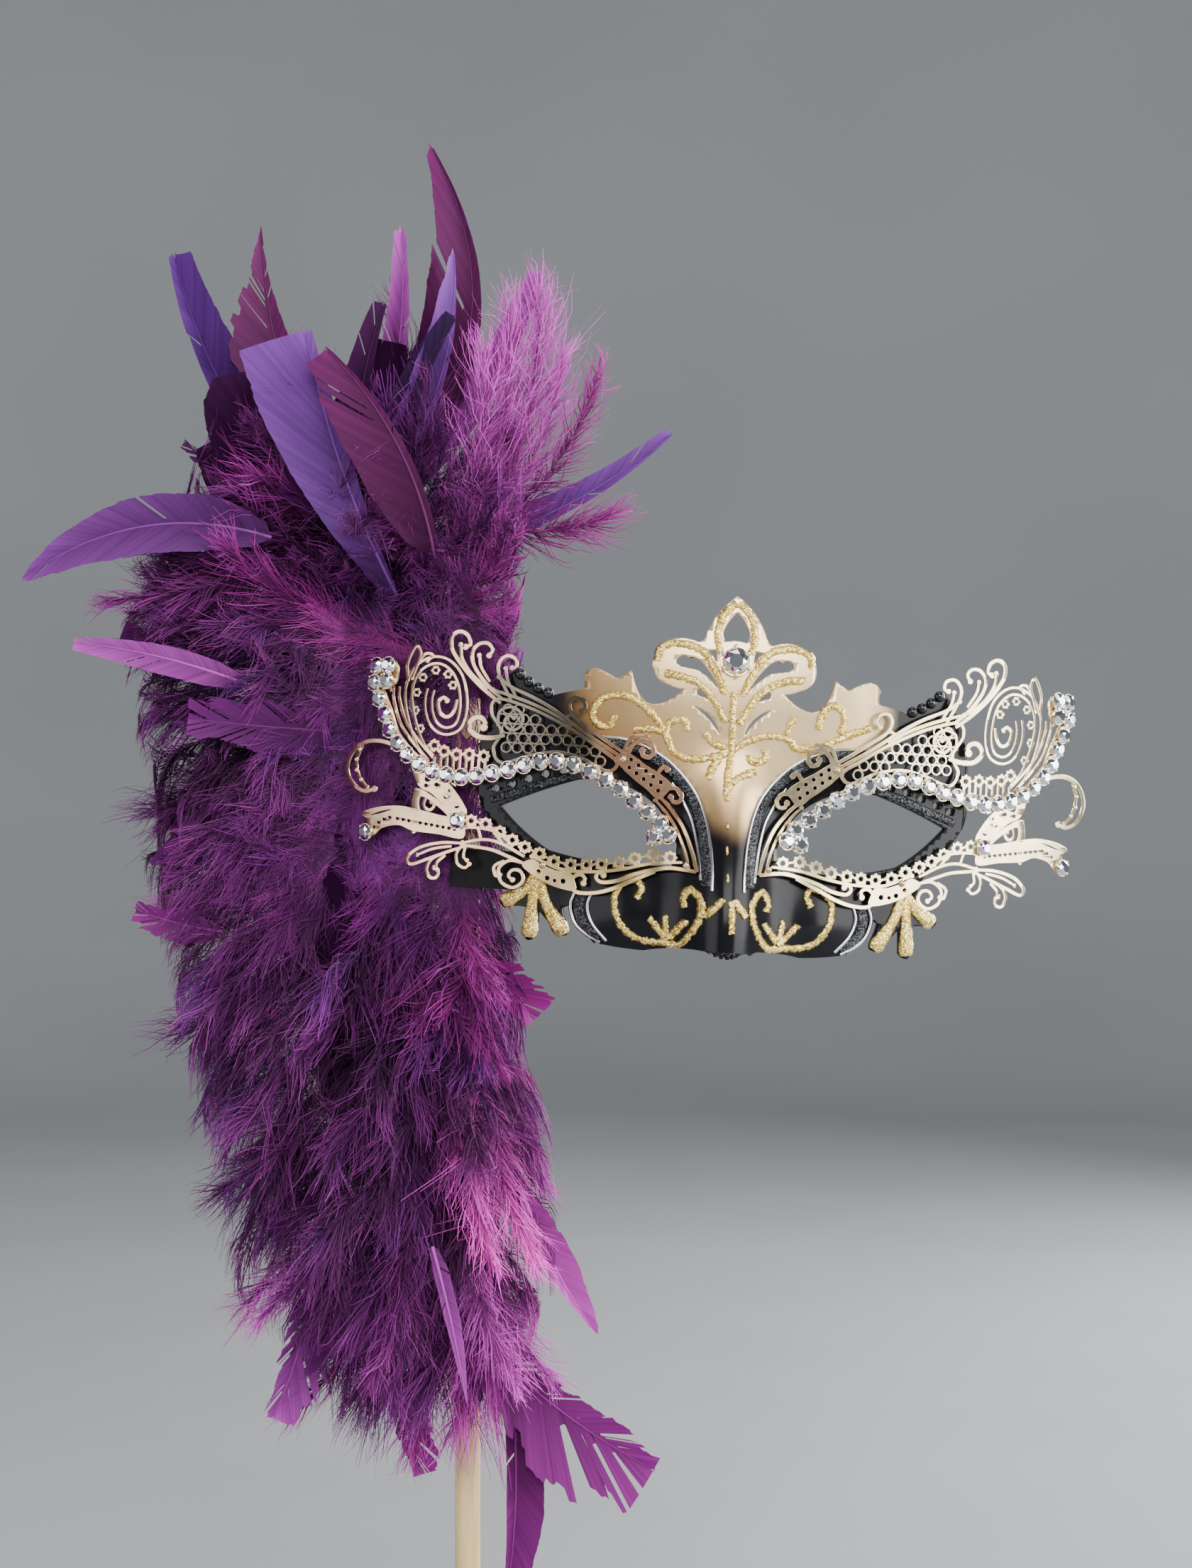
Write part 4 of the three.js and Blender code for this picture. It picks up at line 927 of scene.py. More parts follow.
# The moulded mask
def mask_shell():
    holes = [bulged(LOOP_EYE)]
    for side in (1, -1):
        holes += [bulged(rows) * (side, 1) for rows in (EYE, LOBE_SLOT, STONE_SIDE, UNDER_LOBE, SLIT)]
        holes += [ring(side * x, z, LID_HOLE_RADIUS) for x, z in LID_HOLES]
    flat = sheet_mesh([bulged(mirrored(OUTLINE)), *holes])
    bm = open_mesh(flat)
    bmesh.ops.remove_doubles(bm, verts=bm.verts, dist=1e-3)
    cut_cells(bm, SHELL_LOW, SHELL_HIGH, SHELL_CELL)
    bmesh.ops.dissolve_degenerate(bm, dist=1e-3, edges=bm.edges)
    bmesh.ops.recalc_face_normals(bm, faces=bm.faces)
    if sum(face.normal.z for face in bm.faces) < 0:
        bmesh.ops.reverse_faces(bm, faces=bm.faces)
    close_mesh(bm, flat)
    p = mesh_points(flat)
    # The gold share holds painted shade on the left side; the second share is painted light on the gold.
    gold, gold_lighting = shell_paint(p[:, 0], p[:, 1])
    paint_points(flat, "gold", gold)
    paint_points(flat, "gold_lighting", gold_lighting)
    lay_on_mask(flat, 0.0)
    shell = new_piece("mask_shell", flat, [SHELL, SHELL_BACK], "mask_shell", "mask_base")
    wall = shell.modifiers.new("wall", "SOLIDIFY")
    wall.thickness = WALL * MM
    wall.offset = -1
    wall.material_offset = 1
    wall.material_offset_rim = 0


def shell_paint(x, z):
    """How golden the mask is, with painted shade that darkens the left brow and lid to black, and how much
    painted light pales its gold to the right and top.
    """
    away = np.abs(x)
    band = np.array(sorted((bz, bx) for bx, bz in BAND_OUTER))
    limit = np.interp(z, band[:, 0], band[:, 1])
    brow = np.where(z > BAND_OUTER[0][1], 1.0, np.clip((limit - away) / 1.6 + 0.2, 0, 1))
    down_nose = eased((z + 6 + 0.3 * x) / 12)
    sides = np.clip((46 - away) / 10, 0, 1)
    # Painted shade: the left side's outer brow and lid strip fade to black.
    left_shade = np.where(x < 0, np.clip((z - 14) / 10 + (44 + x) / 18, 0, 1), 1)
    # Painted light and shade: the gold pales to the right and top and browns to the left and below.
    gold_lighting = np.clip(0.72 + x / 55 + (z - 22) / 60, 0, 1)
    return brow * down_nose * sides * left_shade, gold_lighting


def on_mask(lines, radius, lift, flat, resolution=1):
    """Lines moulded or laid on the mask, as one mesh."""
    wires = [(smooth_line(line, 1.0), radius, False) for line in lines]
    return lay_on_mask(wire_mesh(wires, resolution), lift, flat)


def both(lines):
    return [handed(line, side) for line in lines for side in (1, -1)]


def mask_lines():
    silver = both([BAND_OUTER, BAND_INNER, CHEEK_OUTER, CHEEK_INNER])
    silver = on_mask(silver, radius=0.5, lift=0.15, flat=0.9)
    new_piece("silver_lines", silver, SILVER, "mask_shell")
    bands = on_mask(both([BAND_MIDDLE, CHEEK_MIDDLE]), radius=1.5, lift=0.1, flat=0.32, resolution=2)
    lids = on_mask(both([LID_LINE]), radius=1.1, lift=0.05, flat=0.4, resolution=2)
    new_piece("glitter_bands", joined_mesh("bands", [bands, lids]), BLACK_GLITTER, "mask_shell")


def glitter_wires(lines, radius):
    wires = []
    for line in lines:
        points = smooth_line(line, 0.5)
        points = points + draw.normal(0, 0.1, points.shape)
        wires.append((points, radius * draw.uniform(0.78, 1.2, len(points)), False))
    return wires


def glitter_lines():
    thin = glitter_wires(both(GLITTER_BOTH) + GLITTER_SINGLE, GLITTER_RADIUS)
    dots = []
    for x, z, radius in GLITTER_DOTS:
        spots = np.array([(x - 0.3, z), (x, z), (x + 0.3, z)])
        dots.append((spots, np.array([0.75, 1, 0.75]) * radius, False))
    arms = []
    for line in both(CLAW_ARMS):
        points = smooth_line(line, 0.6)
        grow = np.interp(np.linspace(0, 1, len(points)), *CLAW_GROW)
        arms.append((points, grow * draw.uniform(0.94, 1.06, len(points)), False))
    meshes = [
        lay_on_mask(wire_mesh(thin, 1), lift=0.1, flat=0.62),
        lay_on_mask(wire_mesh(arms, 2), lift=0.2, flat=0.55),
        lay_on_mask(wire_mesh(dots, 2), lift=0.1, flat=0.6),
    ]
    new_piece("gold_glitter", joined_mesh("glitter", meshes), GOLD_GLITTER, "mask_shell")


def dome_mesh(places, radius, lift, squash=0.7):
    """Round beads or rivet heads on the mask."""
    bm = bmesh.new()
    for x, z in np.array(places, dtype=float):
        at = Vector(to_row(x, skin(x, z) - lift, z))
        turn = Matrix.Translation(at) @ Matrix.Diagonal((1, squash, 1, 1))
        bmesh.ops.create_uvsphere(bm, u_segments=16, v_segments=10, radius=radius * MM, matrix=turn)
    return close_mesh(bm, bpy.data.meshes.new("domes"))


def beads_and_rivets():
    beads = [spot for row in both([BEADS]) for spot in row]
    beads = dome_mesh(beads, radius=1.5, lift=0.2, squash=0.9)
    new_piece("brow_beads", beads, BEAD_BLACK, "mask_shell")
    rivets = [spot for row in both([RIVETS]) for spot in row]
    rivets = dome_mesh(rivets, radius=0.95, lift=LACE_LIFT + 0.4)
    new_piece("rivets", rivets, GILT, "gilt_lace")


# The metal lace
def gear_ring(x, z, radius, teeth=8):
    """A flower of the lace: a scalloped ring."""
    angle = np.linspace(0, 2 * math.pi, teeth * 4, endpoint=False)
    reach = radius * (1 + 0.16 * np.cos(teeth * angle))
    return np.stack([x + reach * np.cos(angle), z + reach * np.sin(angle)], axis=1)


def lattice_holes(side):
    corners = np.array(LATTICE, dtype=float)
    rise = LATTICE_PITCH * math.sin(math.pi / 3)
    low, high = corners.min(0), corners.max(0)
    centres = []
    for row, z in enumerate(np.arange(low[1], high[1], rise)):
        for x in np.arange(low[0] + LATTICE_PITCH / 2 * (row % 2), high[0], LATTICE_PITCH):
            if inside(np.array((x, z)), corners) > LATTICE_RIM:
                centres.append((side * x, z))
    return centres


def plate_mesh(outlines, lift):
    flat = sheet_mesh(outlines, PLATE_THICK - 2 * PLATE_ROUNDING, PLATE_ROUNDING)
    bm = open_mesh(flat)
    bmesh.ops.remove_doubles(bm, verts=bm.verts, dist=1e-3)
    p = mesh_points(flat)
    cut_cells(bm, p[:, :2].min(0), p[:, :2].max(0), PLATE_CELL)
    bmesh.ops.recalc_face_normals(bm, faces=bm.faces)
    return lay_on_mask(close_mesh(bm, flat), lift)


def tapered(count, width):
    """Half widths of a strip that thins a little towards its ends."""
    share = np.linspace(0, 1, count)
    return LACE_SPREAD * width / 2 * np.interp(share, [0, 0.15, 0.8, 1], [0.8, 1, 1, 0.85])


LACE_TONES = {
    "champagne": (0.92, 0.65, 0.4),
    "rose": (0.88, 0.52, 0.32),
    "yellow": (0.9, 0.68, 0.34),
    # Painted reflection: the dark tone where the brow lattice mirrors the dark room
    "dark_reflection": (0.2, 0.17, 0.13),
    # Painted light: the pale tone of the lace on the lit right side
    "lit_side_tone": (1.0, 0.87, 0.54),
}
# Patches of the lace: tone, low and high corner, softness of the rim; the dark patch over the brow lattice
# is a painted reflection of the dark room
LACE_PATCHES = [
    ("rose", (5, -3), (33, 30), 6), ("yellow", (5, -40), (52, -6), 6), ("dark_reflection", (37, 9), (66, 40), 5),
]


def soft_box(x, z, low, high, soft):
    """1 inside a box of the mask, easing to 0 outside it."""
    share = 1.0
    for value, a, b in ((x, low[0], high[0]), (z, low[1], high[1])):
        share = share * np.clip((value - a) / soft + 0.5, 0, 1) * np.clip((b - value) / soft + 0.5, 0, 1)
    return share[:, None]


def paint_lace(mesh, side):
    """Rose by the nose and yellow under the eye; a painted dark reflection over the brow lattice, and
    painted light that turns the right side pale yellow-white.
    """
    x, z = mask_spot(mesh_points(mesh) / MM)
    tone = np.tile(np.array(LACE_TONES["champagne"]), (len(x), 1))
    for name, low, high, soft in LACE_PATCHES:
        share = soft_box(np.abs(x), z, low, high, soft)
        tone = tone * (1 - share) + np.array(LACE_TONES[name]) * share
    # Painted light: the right side's lace is paled as if lit by the key lamp
    if side > 0:
        tone = 0.25 * tone + 0.75 * np.array(LACE_TONES["lit_side_tone"])
    paint_points(mesh, "tone", tone)


def lace_strips(side):
    """The strips of one side's lace: (points, half widths, closed)."""
    strips = []
    for width, points in WIRES:
        line = smooth_line(handed(points, side), 0.7)
        strips.append((line, tapered(len(line), width), False))
        strips.append((ring(*line[-1], 0.36 * width, 10), 0.4 * width, True))
    for width, gap, points in TWINS:
        line = smooth_line(handed(points, side), 0.7)
        for hand in (1, -1):
            strips.append((offset_line(line, hand * gap), tapered(len(line), width), False))
    for x, z in FLOWERS:
        strips.append((gear_ring(side * x, z, FLOWER_RADIUS), FLOWER_HALF, True))
    for start, end in zip(np.array(handed(FLOWERS, side)), np.array(handed(FLOWERS[1:], side))):
        apart = np.linalg.norm(end - start)
        if apart < FLOWER_LINK:
            reach = (end - start) * FLOWER_RADIUS / apart
            strips.append((np.linspace(start + reach, end - reach, 4), LINK_HALF, False))
    for x, z in SMALL_FLOWERS:
        strips.append((gear_ring(side * x, z, SMALL_FLOWER_RADIUS, 6), SMALL_FLOWER_HALF, True))
    for x, low, high in BARS:
        strips.append((np.linspace((side * x, low), (side * x, high), 5), BAR_HALF, False))
    strips.append((smooth_line(handed(STONE_LINE, side), 1.0), SEAT_HALF, False))
    for x, z in lattice_holes(side):
        strips.append((ring(x, z, LATTICE_RING, 12), LATTICE_WALL / 2, True))
    strips.append((smooth_line(handed(LATTICE, side), 1.0, closed=True), LATTICE_WALL, True))
    return strips


def lace(side, name):
    meshes = [lay_on_mask(strip_mesh(lace_strips(side)), LACE_LIFT)]
    for plate in PLATES:
        outlines = [smooth_line(handed(plate["corners"], side), 0.7, closed=True)]
        outlines += [ring(side * x, z, r) for x, z, r in plate["holes"]]
        outlines += [smooth_line(handed(slot, side), 0.5, closed=True) for slot in plate.get("slots", [])]
        meshes.append(plate_mesh(outlines, LACE_LIFT))
    meshes.append(dome_mesh(handed(CRESCENT_BEADS, side), radius=0.8, lift=LACE_LIFT + 0.2))
    whole = joined_mesh("lace", meshes)
    sharp_by_angle(whole, LACE_SHARP)
    paint_lace(whole, side)
    new_piece(f"lace_{name}", whole, LACE_GILT, "gilt_lace", f"filigree_{name}")


# Stones
def skin_turn(x, z, lift):
    """Where a stone stands on the skin, square to it."""
    step = 0.5
    slope_x = (skin(x + step, z) - skin(x - step, z)) / (2 * step)
    slope_z = (skin(x, z + step) - skin(x, z - step)) / (2 * step)
    foot = np.array((x, skin(x, z), z))
    normal = np.array((slope_x, -1, slope_z))
    normal /= np.linalg.norm(normal)
    at = foot + normal * (lift * abs(normal[1]))
    base, top = to_row(*at), to_row(*(at + normal))
    out = Vector(top - base).normalized()
    turn = out.to_track_quat("Z", "Y").to_matrix().to_4x4()
    return Matrix.Translation(Vector(base)) @ turn


def brilliant(bm, radius, matrix):
    """A cut stone: a table, star and kite facets, and a girdle."""
    verts = []
    for share, height, count, shift in STONE_RINGS:
        for k in range(count):
            angle = 2 * math.pi * (k + shift) / count
            spot = Vector((share * math.cos(angle), share * math.sin(angle), height)) * radius * MM
            verts.append(bm.verts.new(matrix @ spot))
    hull = bmesh.ops.convex_hull(bm, input=verts)
    faces = [f for f in hull["geom"] if isinstance(f, bmesh.types.BMFace)]
    edges = list({e for f in faces for e in f.edges})
    bmesh.ops.dissolve_limit(bm, angle_limit=0.01, verts=verts, edges=edges)


def cup(bm, radius, matrix, prongs):
    """A metal cup under a stone, with prongs over its rim."""
    low = Matrix.Translation((0, 0, -0.25 * radius * MM))
    bmesh.ops.create_cone(
        bm, cap_ends=True, segments=18, radius1=0.86 * radius * MM, radius2=1.1 * radius * MM,
        depth=0.62 * radius * MM, matrix=matrix @ low,
    )
    for k in range(prongs):
        angle = 2 * math.pi * (k + 0.5) / prongs
        spot = Vector((math.cos(angle), math.sin(angle), 0.14)) * radius * MM * 1.04
        bmesh.ops.create_icosphere(
            bm, subdivisions=1, radius=0.2 * radius * MM, matrix=matrix @ Matrix.Translation(spot),
        )


def stone_places(side):
    flat = np.array(STONE_LINE, dtype=float)
    line = np.column_stack([flat[:, 0], skin(flat[:, 0], flat[:, 1]), flat[:, 1]])
    dense = smooth_line(line, 0.5)
    length = np.linalg.norm(np.diff(dense, axis=0), axis=1).sum()
    spaced = smooth_line(line, length / round(length / STONE_PITCH))
    places = [(side * x, z) for x, _, z in spaced]
    return places + handed(SIDE_STONES, side)


def set_stones(places, radius, lift, prongs, gems_name, cups_name, *nodes):
    """Cut stones as one piece and their metal cups as another."""
    stones, cups = bmesh.new(), bmesh.new()
    for x, z in places:
        matrix = skin_turn(x, z, lift)
        spin = Matrix.Rotation(draw.uniform(0, math.pi), 4, "Z")
        lean = Matrix.Rotation(draw.normal(0, 0.05), 4, "X")
        brilliant(stones, radius, matrix @ spin @ lean)
        cup(cups, radius, matrix, prongs)
    for bm in (stones, cups):
        bmesh.ops.recalc_face_normals(bm, faces=bm.faces)
    gems = close_mesh(stones, bpy.data.meshes.new(gems_name))
    metal = close_mesh(cups, bpy.data.meshes.new(cups_name))
    new_piece(gems_name, gems, CRYSTAL, "crystal", *nodes)
    set_smooth(gems, False)
    sharp_by_angle(metal, TURNED_SHARP)
    new_piece(cups_name, metal, CUP_GILT, "gilt_lace")


def stone_rows(side, name):
    nodes = [f"{kind}_{name}" for kind in ("rhinestone_row", "root_stone", "tip_stone")]
    names = (f"stones_{name}", f"stone_cups_{name}")
    set_stones(stone_places(side), STONE_RADIUS, STONE_STAND, STONE_PRONGS, *names, *nodes)


def crown_stone():
    places = [(0.0, CROWN_STONE_Z)]
    names = ("crown_gem", "crown_cup")
    set_stones(places, CROWN_STONE_RADIUS, CROWN_STONE_STAND, CROWN_PRONGS, *names, "crown_stone")


# Feathers: strips of barbs along bowed shafts
def unit(v):
    return v / np.maximum(np.linalg.norm(v, axis=-1, keepdims=True), 1e-9)


def core_at(z):
    """Centre and half width of the plume's core at a height."""
    return np.array([np.interp(z, CORE[:, 2], CORE[:, k]) for k in (0, 1, 3)])


class Plume:
    """Barbs and vanes gathered for one joined mesh, with a dye for each point."""

    def __init__(self):
        self.points = []
        self.dyes = []
        self.quads = []
        self.count = 0

    def add(self, grid, dye, keep=None):
        """Sheets of shape (sheets, rows, columns, 3) and their dyes; keep says which cells stay."""
        sheets, rows, columns = grid.shape[:3]
        index = self.count + np.arange(sheets * rows * columns).reshape(sheets, rows, columns)
        corners = [index[:, :-1, :-1], index[:, :-1, 1:], index[:, 1:, 1:], index[:, 1:, :-1]]
        quads = np.stack(corners, axis=-1)
        self.quads.append(quads.reshape(-1, 4) if keep is None else quads[keep])
        self.points.append(grid.reshape(-1, 3))
        self.dyes.append(np.broadcast_to(dye, grid.shape).reshape(-1, 3))
        self.count += sheets * rows * columns

    def mesh(self, name):
        points = keep_behind_wing(np.concatenate(self.points)) * MM
        quads = np.concatenate(self.quads)
        mesh = bpy.data.meshes.new(name)
        mesh.vertices.add(len(points))
        mesh.vertices.foreach_set("co", points.astype(np.float32).ravel())
        mesh.loops.add(quads.size)
        mesh.loops.foreach_set("vertex_index", quads.astype(np.int32).ravel())
        mesh.polygons.add(len(quads))
        mesh.polygons.foreach_set("loop_start", np.arange(0, quads.size, 4, dtype=np.int32))
        mesh.update(calc_edges=True)
        paint_points(mesh, "dye", np.concatenate(self.dyes))
        return mesh


def keep_behind_wing(points):
    """Presses back what would poke through the mask's wing, and eases the plume's front and back in."""
    x, z = mask_spot(points)
    back = MASK_AT[1] + skin(np.maximum(x, -WING_OUTER), z) + WING_CLEAR
    y = points[:, 1]
    pressed = np.where(x < -WING_INNER, 1.0, 0.0)
    pressed = pressed * eased((x + WING_OUTER + WING_EASE) / WING_EASE)
    pressed = pressed * eased((z - WING_LOW + WING_EASE_Z) / WING_EASE_Z)
    pressed = pressed * eased((WING_HIGH + WING_EASE_Z - z) / WING_EASE_Z)
    y = (1 - pressed) * y + pressed * (back + WING_PRESS * np.logaddexp(0, (y - back) / WING_PRESS))
    for soft, hard in ((BACK_SOFT, BACK_HARD), (FRONT_SOFT, FRONT_HARD)):
        over = (y - soft) / (hard - soft)
        y = np.where(over > 0, soft + (hard - soft) * np.tanh(over), y)
    return np.column_stack([points[:, 0], y, points[:, 2]])


def trim_sides(points, slack):
    """Eases down in to the plume's sides."""
    x, z = points[..., 0], points[..., 2]
    left = np.interp(z, SIDES[:, 0], SIDES[:, 1]) - slack
    right = np.interp(z, SIDES[:, 0], SIDES[:, 2]) + 0.5 * slack

    def excess(over):
        return np.where(over > 0, over - SIDE_SOFT * np.tanh(over / SIDE_SOFT), 0)

    x = x - excess(x - right + SIDE_SOFT) + excess(left + SIDE_SOFT - x)
    return np.concatenate([x[..., None], points[..., 1:]], axis=-1)


def shaft_frame(root, tip, bow, facing, count, arch=0.0):
    """Points, tangents, sides and normals along a bowed shaft."""
    along = tip - root
    across = unit(np.cross(facing, along))
    middle = root + 0.5 * along + 2 * bow * across + arch * unit(np.cross(along, across))
    t = np.linspace(0, 1, count)[:, None]
    points = (1 - t) ** 2 * root + 2 * t * (1 - t) * middle + t ** 2 * tip
    tangents = unit(2 * (1 - t) * (middle - root) + 2 * t * (tip - middle))
    sides = unit(np.cross(facing, tangents))
    return points, tangents, sides, np.cross(tangents, sides)


def vane_feather(plume, root, tip, bow, width, wide, dye, facing, shape, barbs=96, rows=6):
    """A feather with a satin vane: barbs cling into a sheet that parts at a few slits."""
    outline, slits, loose, ragged = TIP_SHAPES[shape]
    length = np.linalg.norm(tip - root)
    arch = draw.normal(0, 0.08) * length
    points, tangents, sides, normals = shaft_frame(root, tip, bow, facing, barbs, arch)
    share = np.linspace(0, 1, barbs)
    leaf = np.interp(share, *outline)
    t = np.linspace(0, 1, rows)
    for hand in (1, -1):
        cuts = np.sort(draw.choice(np.arange(6, barbs - 5), slits, replace=False))
        lock = np.searchsorted(cuts, np.arange(barbs), side="right")
        stray = loose * draw.normal(0, 1, slits + 1)[lock]
        clump = np.repeat(draw.normal(0, 1, barbs // 4 + 1), 4)[:barbs]
        angle = np.radians(np.interp(share, *VANE_ANGLE) + 3.5 * stray)[:, None]
        reach = 0.5 * width * (1 + hand * wide) * leaf * (1 + 0.06 * stray + ragged * clump)
        reach = (reach * (1 + 0.008 * draw.normal(0, 1, barbs)))[:, None]
        size = reach / np.sin(np.radians(36))
        room = (1.015 - share)[:, None] * length / np.cos(angle)
        size = np.minimum(size, np.maximum(room, 0.03 * length))
        lean = np.cos(angle) * tangents + hand * np.sin(angle) * sides
        fold = draw.uniform(-0.2, 0.55)
        rise = size * np.sin(angle) * fold * t + 0.5 * stray[:, None] * t ** 2 + 0.1 * size * t ** 2
        grid = points[:, None, :] + (size * t)[:, :, None] * lean[:, None, :]
        grid = grid + rise[:, :, None] * normals[:, None, :]
        streak = 1 + 0.1 * draw.normal(0, 1, barbs) + 0.06 * clump + 0.05 * stray
        # Painted shade and light: darker at the root and lighter at the tip, also lighter towards the
        # barbs' ends; streak is random tone.
        light_and_tone = np.interp(share, *VANE_SHADE_TO_LIGHT)[:, None]
        light_and_tone = light_and_tone * (0.75 + 0.45 * t)[None, :] * np.maximum(streak, 0.4)[:, None]
        keep = np.ones((1, barbs - 1, rows - 1), dtype=bool)
        keep[0, cuts - 1, 1:] = False
        plume.add(grid[None], dye * light_and_tone[None, :, :, None], keep)
    thick = np.interp(share, [0, 1], [0.4, 0.08])[:, None]
    raised = points + normals * 0.15
    rachis = np.stack([raised - sides * thick, raised + normals * thick, raised + sides * thick], axis=1)
    plume.add(rachis[None], dye * 1.3 + 0.01)


def fluff_feather(
    plume, root, tip, bow, spread, dye, facing, barbs, droop, trimmed=True, loft=0.65, lock=5, rows=5,
):
    """A downy feather: loose barbs, mostly in one plane, that gather into waving locks."""
    count = barbs // lock
    points, tangents, sides, normals = shaft_frame(root, tip, bow, facing, count)

    def each(values):
        return np.repeat(values, lock, axis=0)

    share = np.linspace(0, 1, count)[:, None]
    hand = np.where(np.arange(count) % 2, 1.0, -1.0)[:, None]
    around = unit(hand * sides + draw.normal(0, loft, (count, 1)) * normals)
    angle = np.radians(draw.uniform(10, 66, (count, 1))) * (1 - 0.6 * share ** 2)
    lean = np.cos(angle) * tangents + np.sin(angle) * around
    leaf = np.interp(share, *DOWN_LEAF)
    size = each(spread * draw.uniform(0.75, 1.15, (count, 1)) * leaf)
    size = size * draw.uniform(0.75, 1.1, (count * lock, 1))
    own = unit(each(lean) + draw.normal(0, 0.2, (count * lock, 3)))
    t = np.linspace(0, 1, rows)[None, :]
    fall = np.array((0.0, 0.0, -1.0))
    start = each(points) + each(tangents) * draw.uniform(-1.5, 1.5, (count * lock, 1))
    heading = own[:, None, :] * (1 - 0.6 * t)[:, :, None] + each(lean)[:, None, :] * (0.6 * t)[:, :, None]
    spine = start[:, None, :] + (size * t)[:, :, None] * heading
    spine = spine + (size * droop * t ** 2)[:, :, None] * fall
    spine = spine + (size * 0.3 * t ** 2)[:, :, None] * each(tangents)[:, None, :]
    wave = each(draw.normal(0, 0.2, (count, 3))) + draw.normal(0, 0.08, (count * lock, 3))
    phase = each(draw.uniform(0, 6.28, (count, 1)))
    spine = spine + (size * np.sin(phase + 4.0 * t) * t)[:, :, None] * wave[:, None, :]
    if trimmed:
        spine = trim_sides(spine, draw.normal(0, 4))
    edge = unit(np.cross(own, draw.normal(0, 1, (count * lock, 3))))[:, None, :]
    half = draw.uniform(0.1, 0.2, (count * lock, 1)) * np.interp(t, *BARB_TAPER)
    half = half[:, :, None]
    shade = each(draw.uniform(0.75, 1.2, (count, 1))) * draw.uniform(0.85, 1.15, (count * lock, 1))
    # Painted shade and light: barbs darker by the shaft and at the feather's root, lighter towards their
    # tips; shade is random tone.
    fade = np.interp(t, *BARB_SHADE_TO_LIGHT) * each(0.5 + 0.85 * share)
    light_and_tone = (shade * fade)[:, :, None, None]
    # Painted highlight: barb tips near the feather's tip turn pinker and lighter.
    blush = (np.clip(0.6 * t ** 2 * each(share), 0, 1) * draw.uniform(0.2, 1))[:, :, None, None]
    tint = dye * (1 - blush) + np.array(DYES["orchid"]) * 0.6 * blush
    plume.add(np.stack([spine - edge * half, spine + edge * half], axis=2), tint * light_and_tone)


def dye_at(place, out):
    """A dye for the spot: deep inside and to the left, pinker below, and pinker to the right with painted
    light.
    """
    foot, crest = np.interp(place[2], *PINK_FOOT), np.interp(place[2], *PINK_CREST)
    # Painted light: down that stands and faces to the lit right turns pinker.
    right = np.interp(place[0] + 16 * out[0], *PINK_LIGHT_RIGHT)
    pink = np.clip(0.2 + foot + right + crest + draw.normal(0, 0.15), 0, 1)
    scale = np.array([DYES[name] for name in DYE_SCALE])
    at = np.linspace(0, 1, len(scale))
    colour = np.array([np.interp(pink, at, scale[:, k]) for k in range(3)])
    if draw.random() < VIOLET_SHARE:
        colour = 0.5 * colour + 0.5 * np.array(DYES["violet"])
    return colour * np.interp(place[2], *DYE_DIM) * draw.uniform(0.6, 1.45)


def long_vanes(plume, fluff):
    for root_z, tip, bow, width, wide, dye, shape in LONG_FEATHERS:
        x, y, half = core_at(root_z)
        root, tip = np.array((x, y, root_z)), np.array(tip, dtype=float)
        root = root + unit(tip - root) * 0.45 * half
        facing = unit(np.array((0.25 * draw.normal(), -1.0, 0.2 * draw.normal())))
        colour = np.array(DYES[dye])
        vane_feather(plume, root, tip, 0.8 * bow, width, wide, colour, facing, shape)
        base = root + 0.55 * (tip - root)
        fluff_feather(
            fluff, root, base, 0.3 * bow, 0.9 * width, 0.9 * colour, facing,
            barbs=120, droop=0.1, trimmed=False,
        )
    for root, tip, bow, width, wide, dye, shape in FRONT_VANES:
        root, tip = np.array(root, dtype=float), np.array(tip, dtype=float)
        facing = np.array((0.1, -1.0, 0.1))
        vane_feather(plume, root, tip, 0.8 * bow, width, wide, np.array(DYES[dye]), facing, shape)


def downy_feathers(pieces):
    for root, tip, bow, spread, dye, barbs in DOWNY:
        root, tip = np.array(root, dtype=float), np.array(tip, dtype=float)
        facing = np.array((0.2 * draw.normal(), -1.0, 0.2 * draw.normal()))
        fluff_feather(
            piece_for(pieces, root), root, tip, bow, spread, np.array(DYES[dye]), facing, barbs,
            droop=0.0, trimmed=False, loft=0.9, lock=3,
        )


def body_spot():
    """A random root on the core, with its way out."""
    z = draw.uniform(BODY_LOW, BODY_HIGH)
    x, y, half = core_at(z)
    front = draw.random() < FRONT_SHARE
    bearing = 1.5 * math.pi + draw.normal(0, 0.8) if front else draw.uniform(0, 2 * math.pi)
    out = np.array((math.cos(bearing), math.sin(bearing) * CORE_DEPTH, 0.0))
    root = np.array((x, y, z)) + out * half * draw.uniform(0.5, 0.8)
    aside = np.array((-0.45 * (1 - abs(out[0])), 0.0, 0.0))
    way = unit(out + aside + np.array((0, 0, np.interp(z, *FLOW))) + draw.normal(0, 0.2, 3))
    return root, way, out, half


def body_vanes(plume):
    for k in range(BODY_VANES):
        root, way, out, _ = body_spot()
        while out[0] > 0.2:
            root, way, out, _ = body_spot()
        length = draw.uniform(26, 42)
        facing = unit(out + draw.normal(0, 0.3, 3) + np.array((0, -0.3, 0)))
        colour = np.array(DYES["purple"]) * draw.uniform(0.6, 1.3)
        shape = ("blade", "frayed", "square")[k % 3]
        tip = root + way * length
        bow, width, wide = draw.normal(0, 4), draw.uniform(6, 11), draw.uniform(-0.5, 0.5)
        vane_feather(plume, root, tip, bow, width, wide, colour, facing, shape, barbs=48, rows=5)


def piece_for(pieces, root):
    """The piece that down at this height belongs to."""
    return pieces[sum(root[2] < floor for floor in FLUFF_FLOORS)]


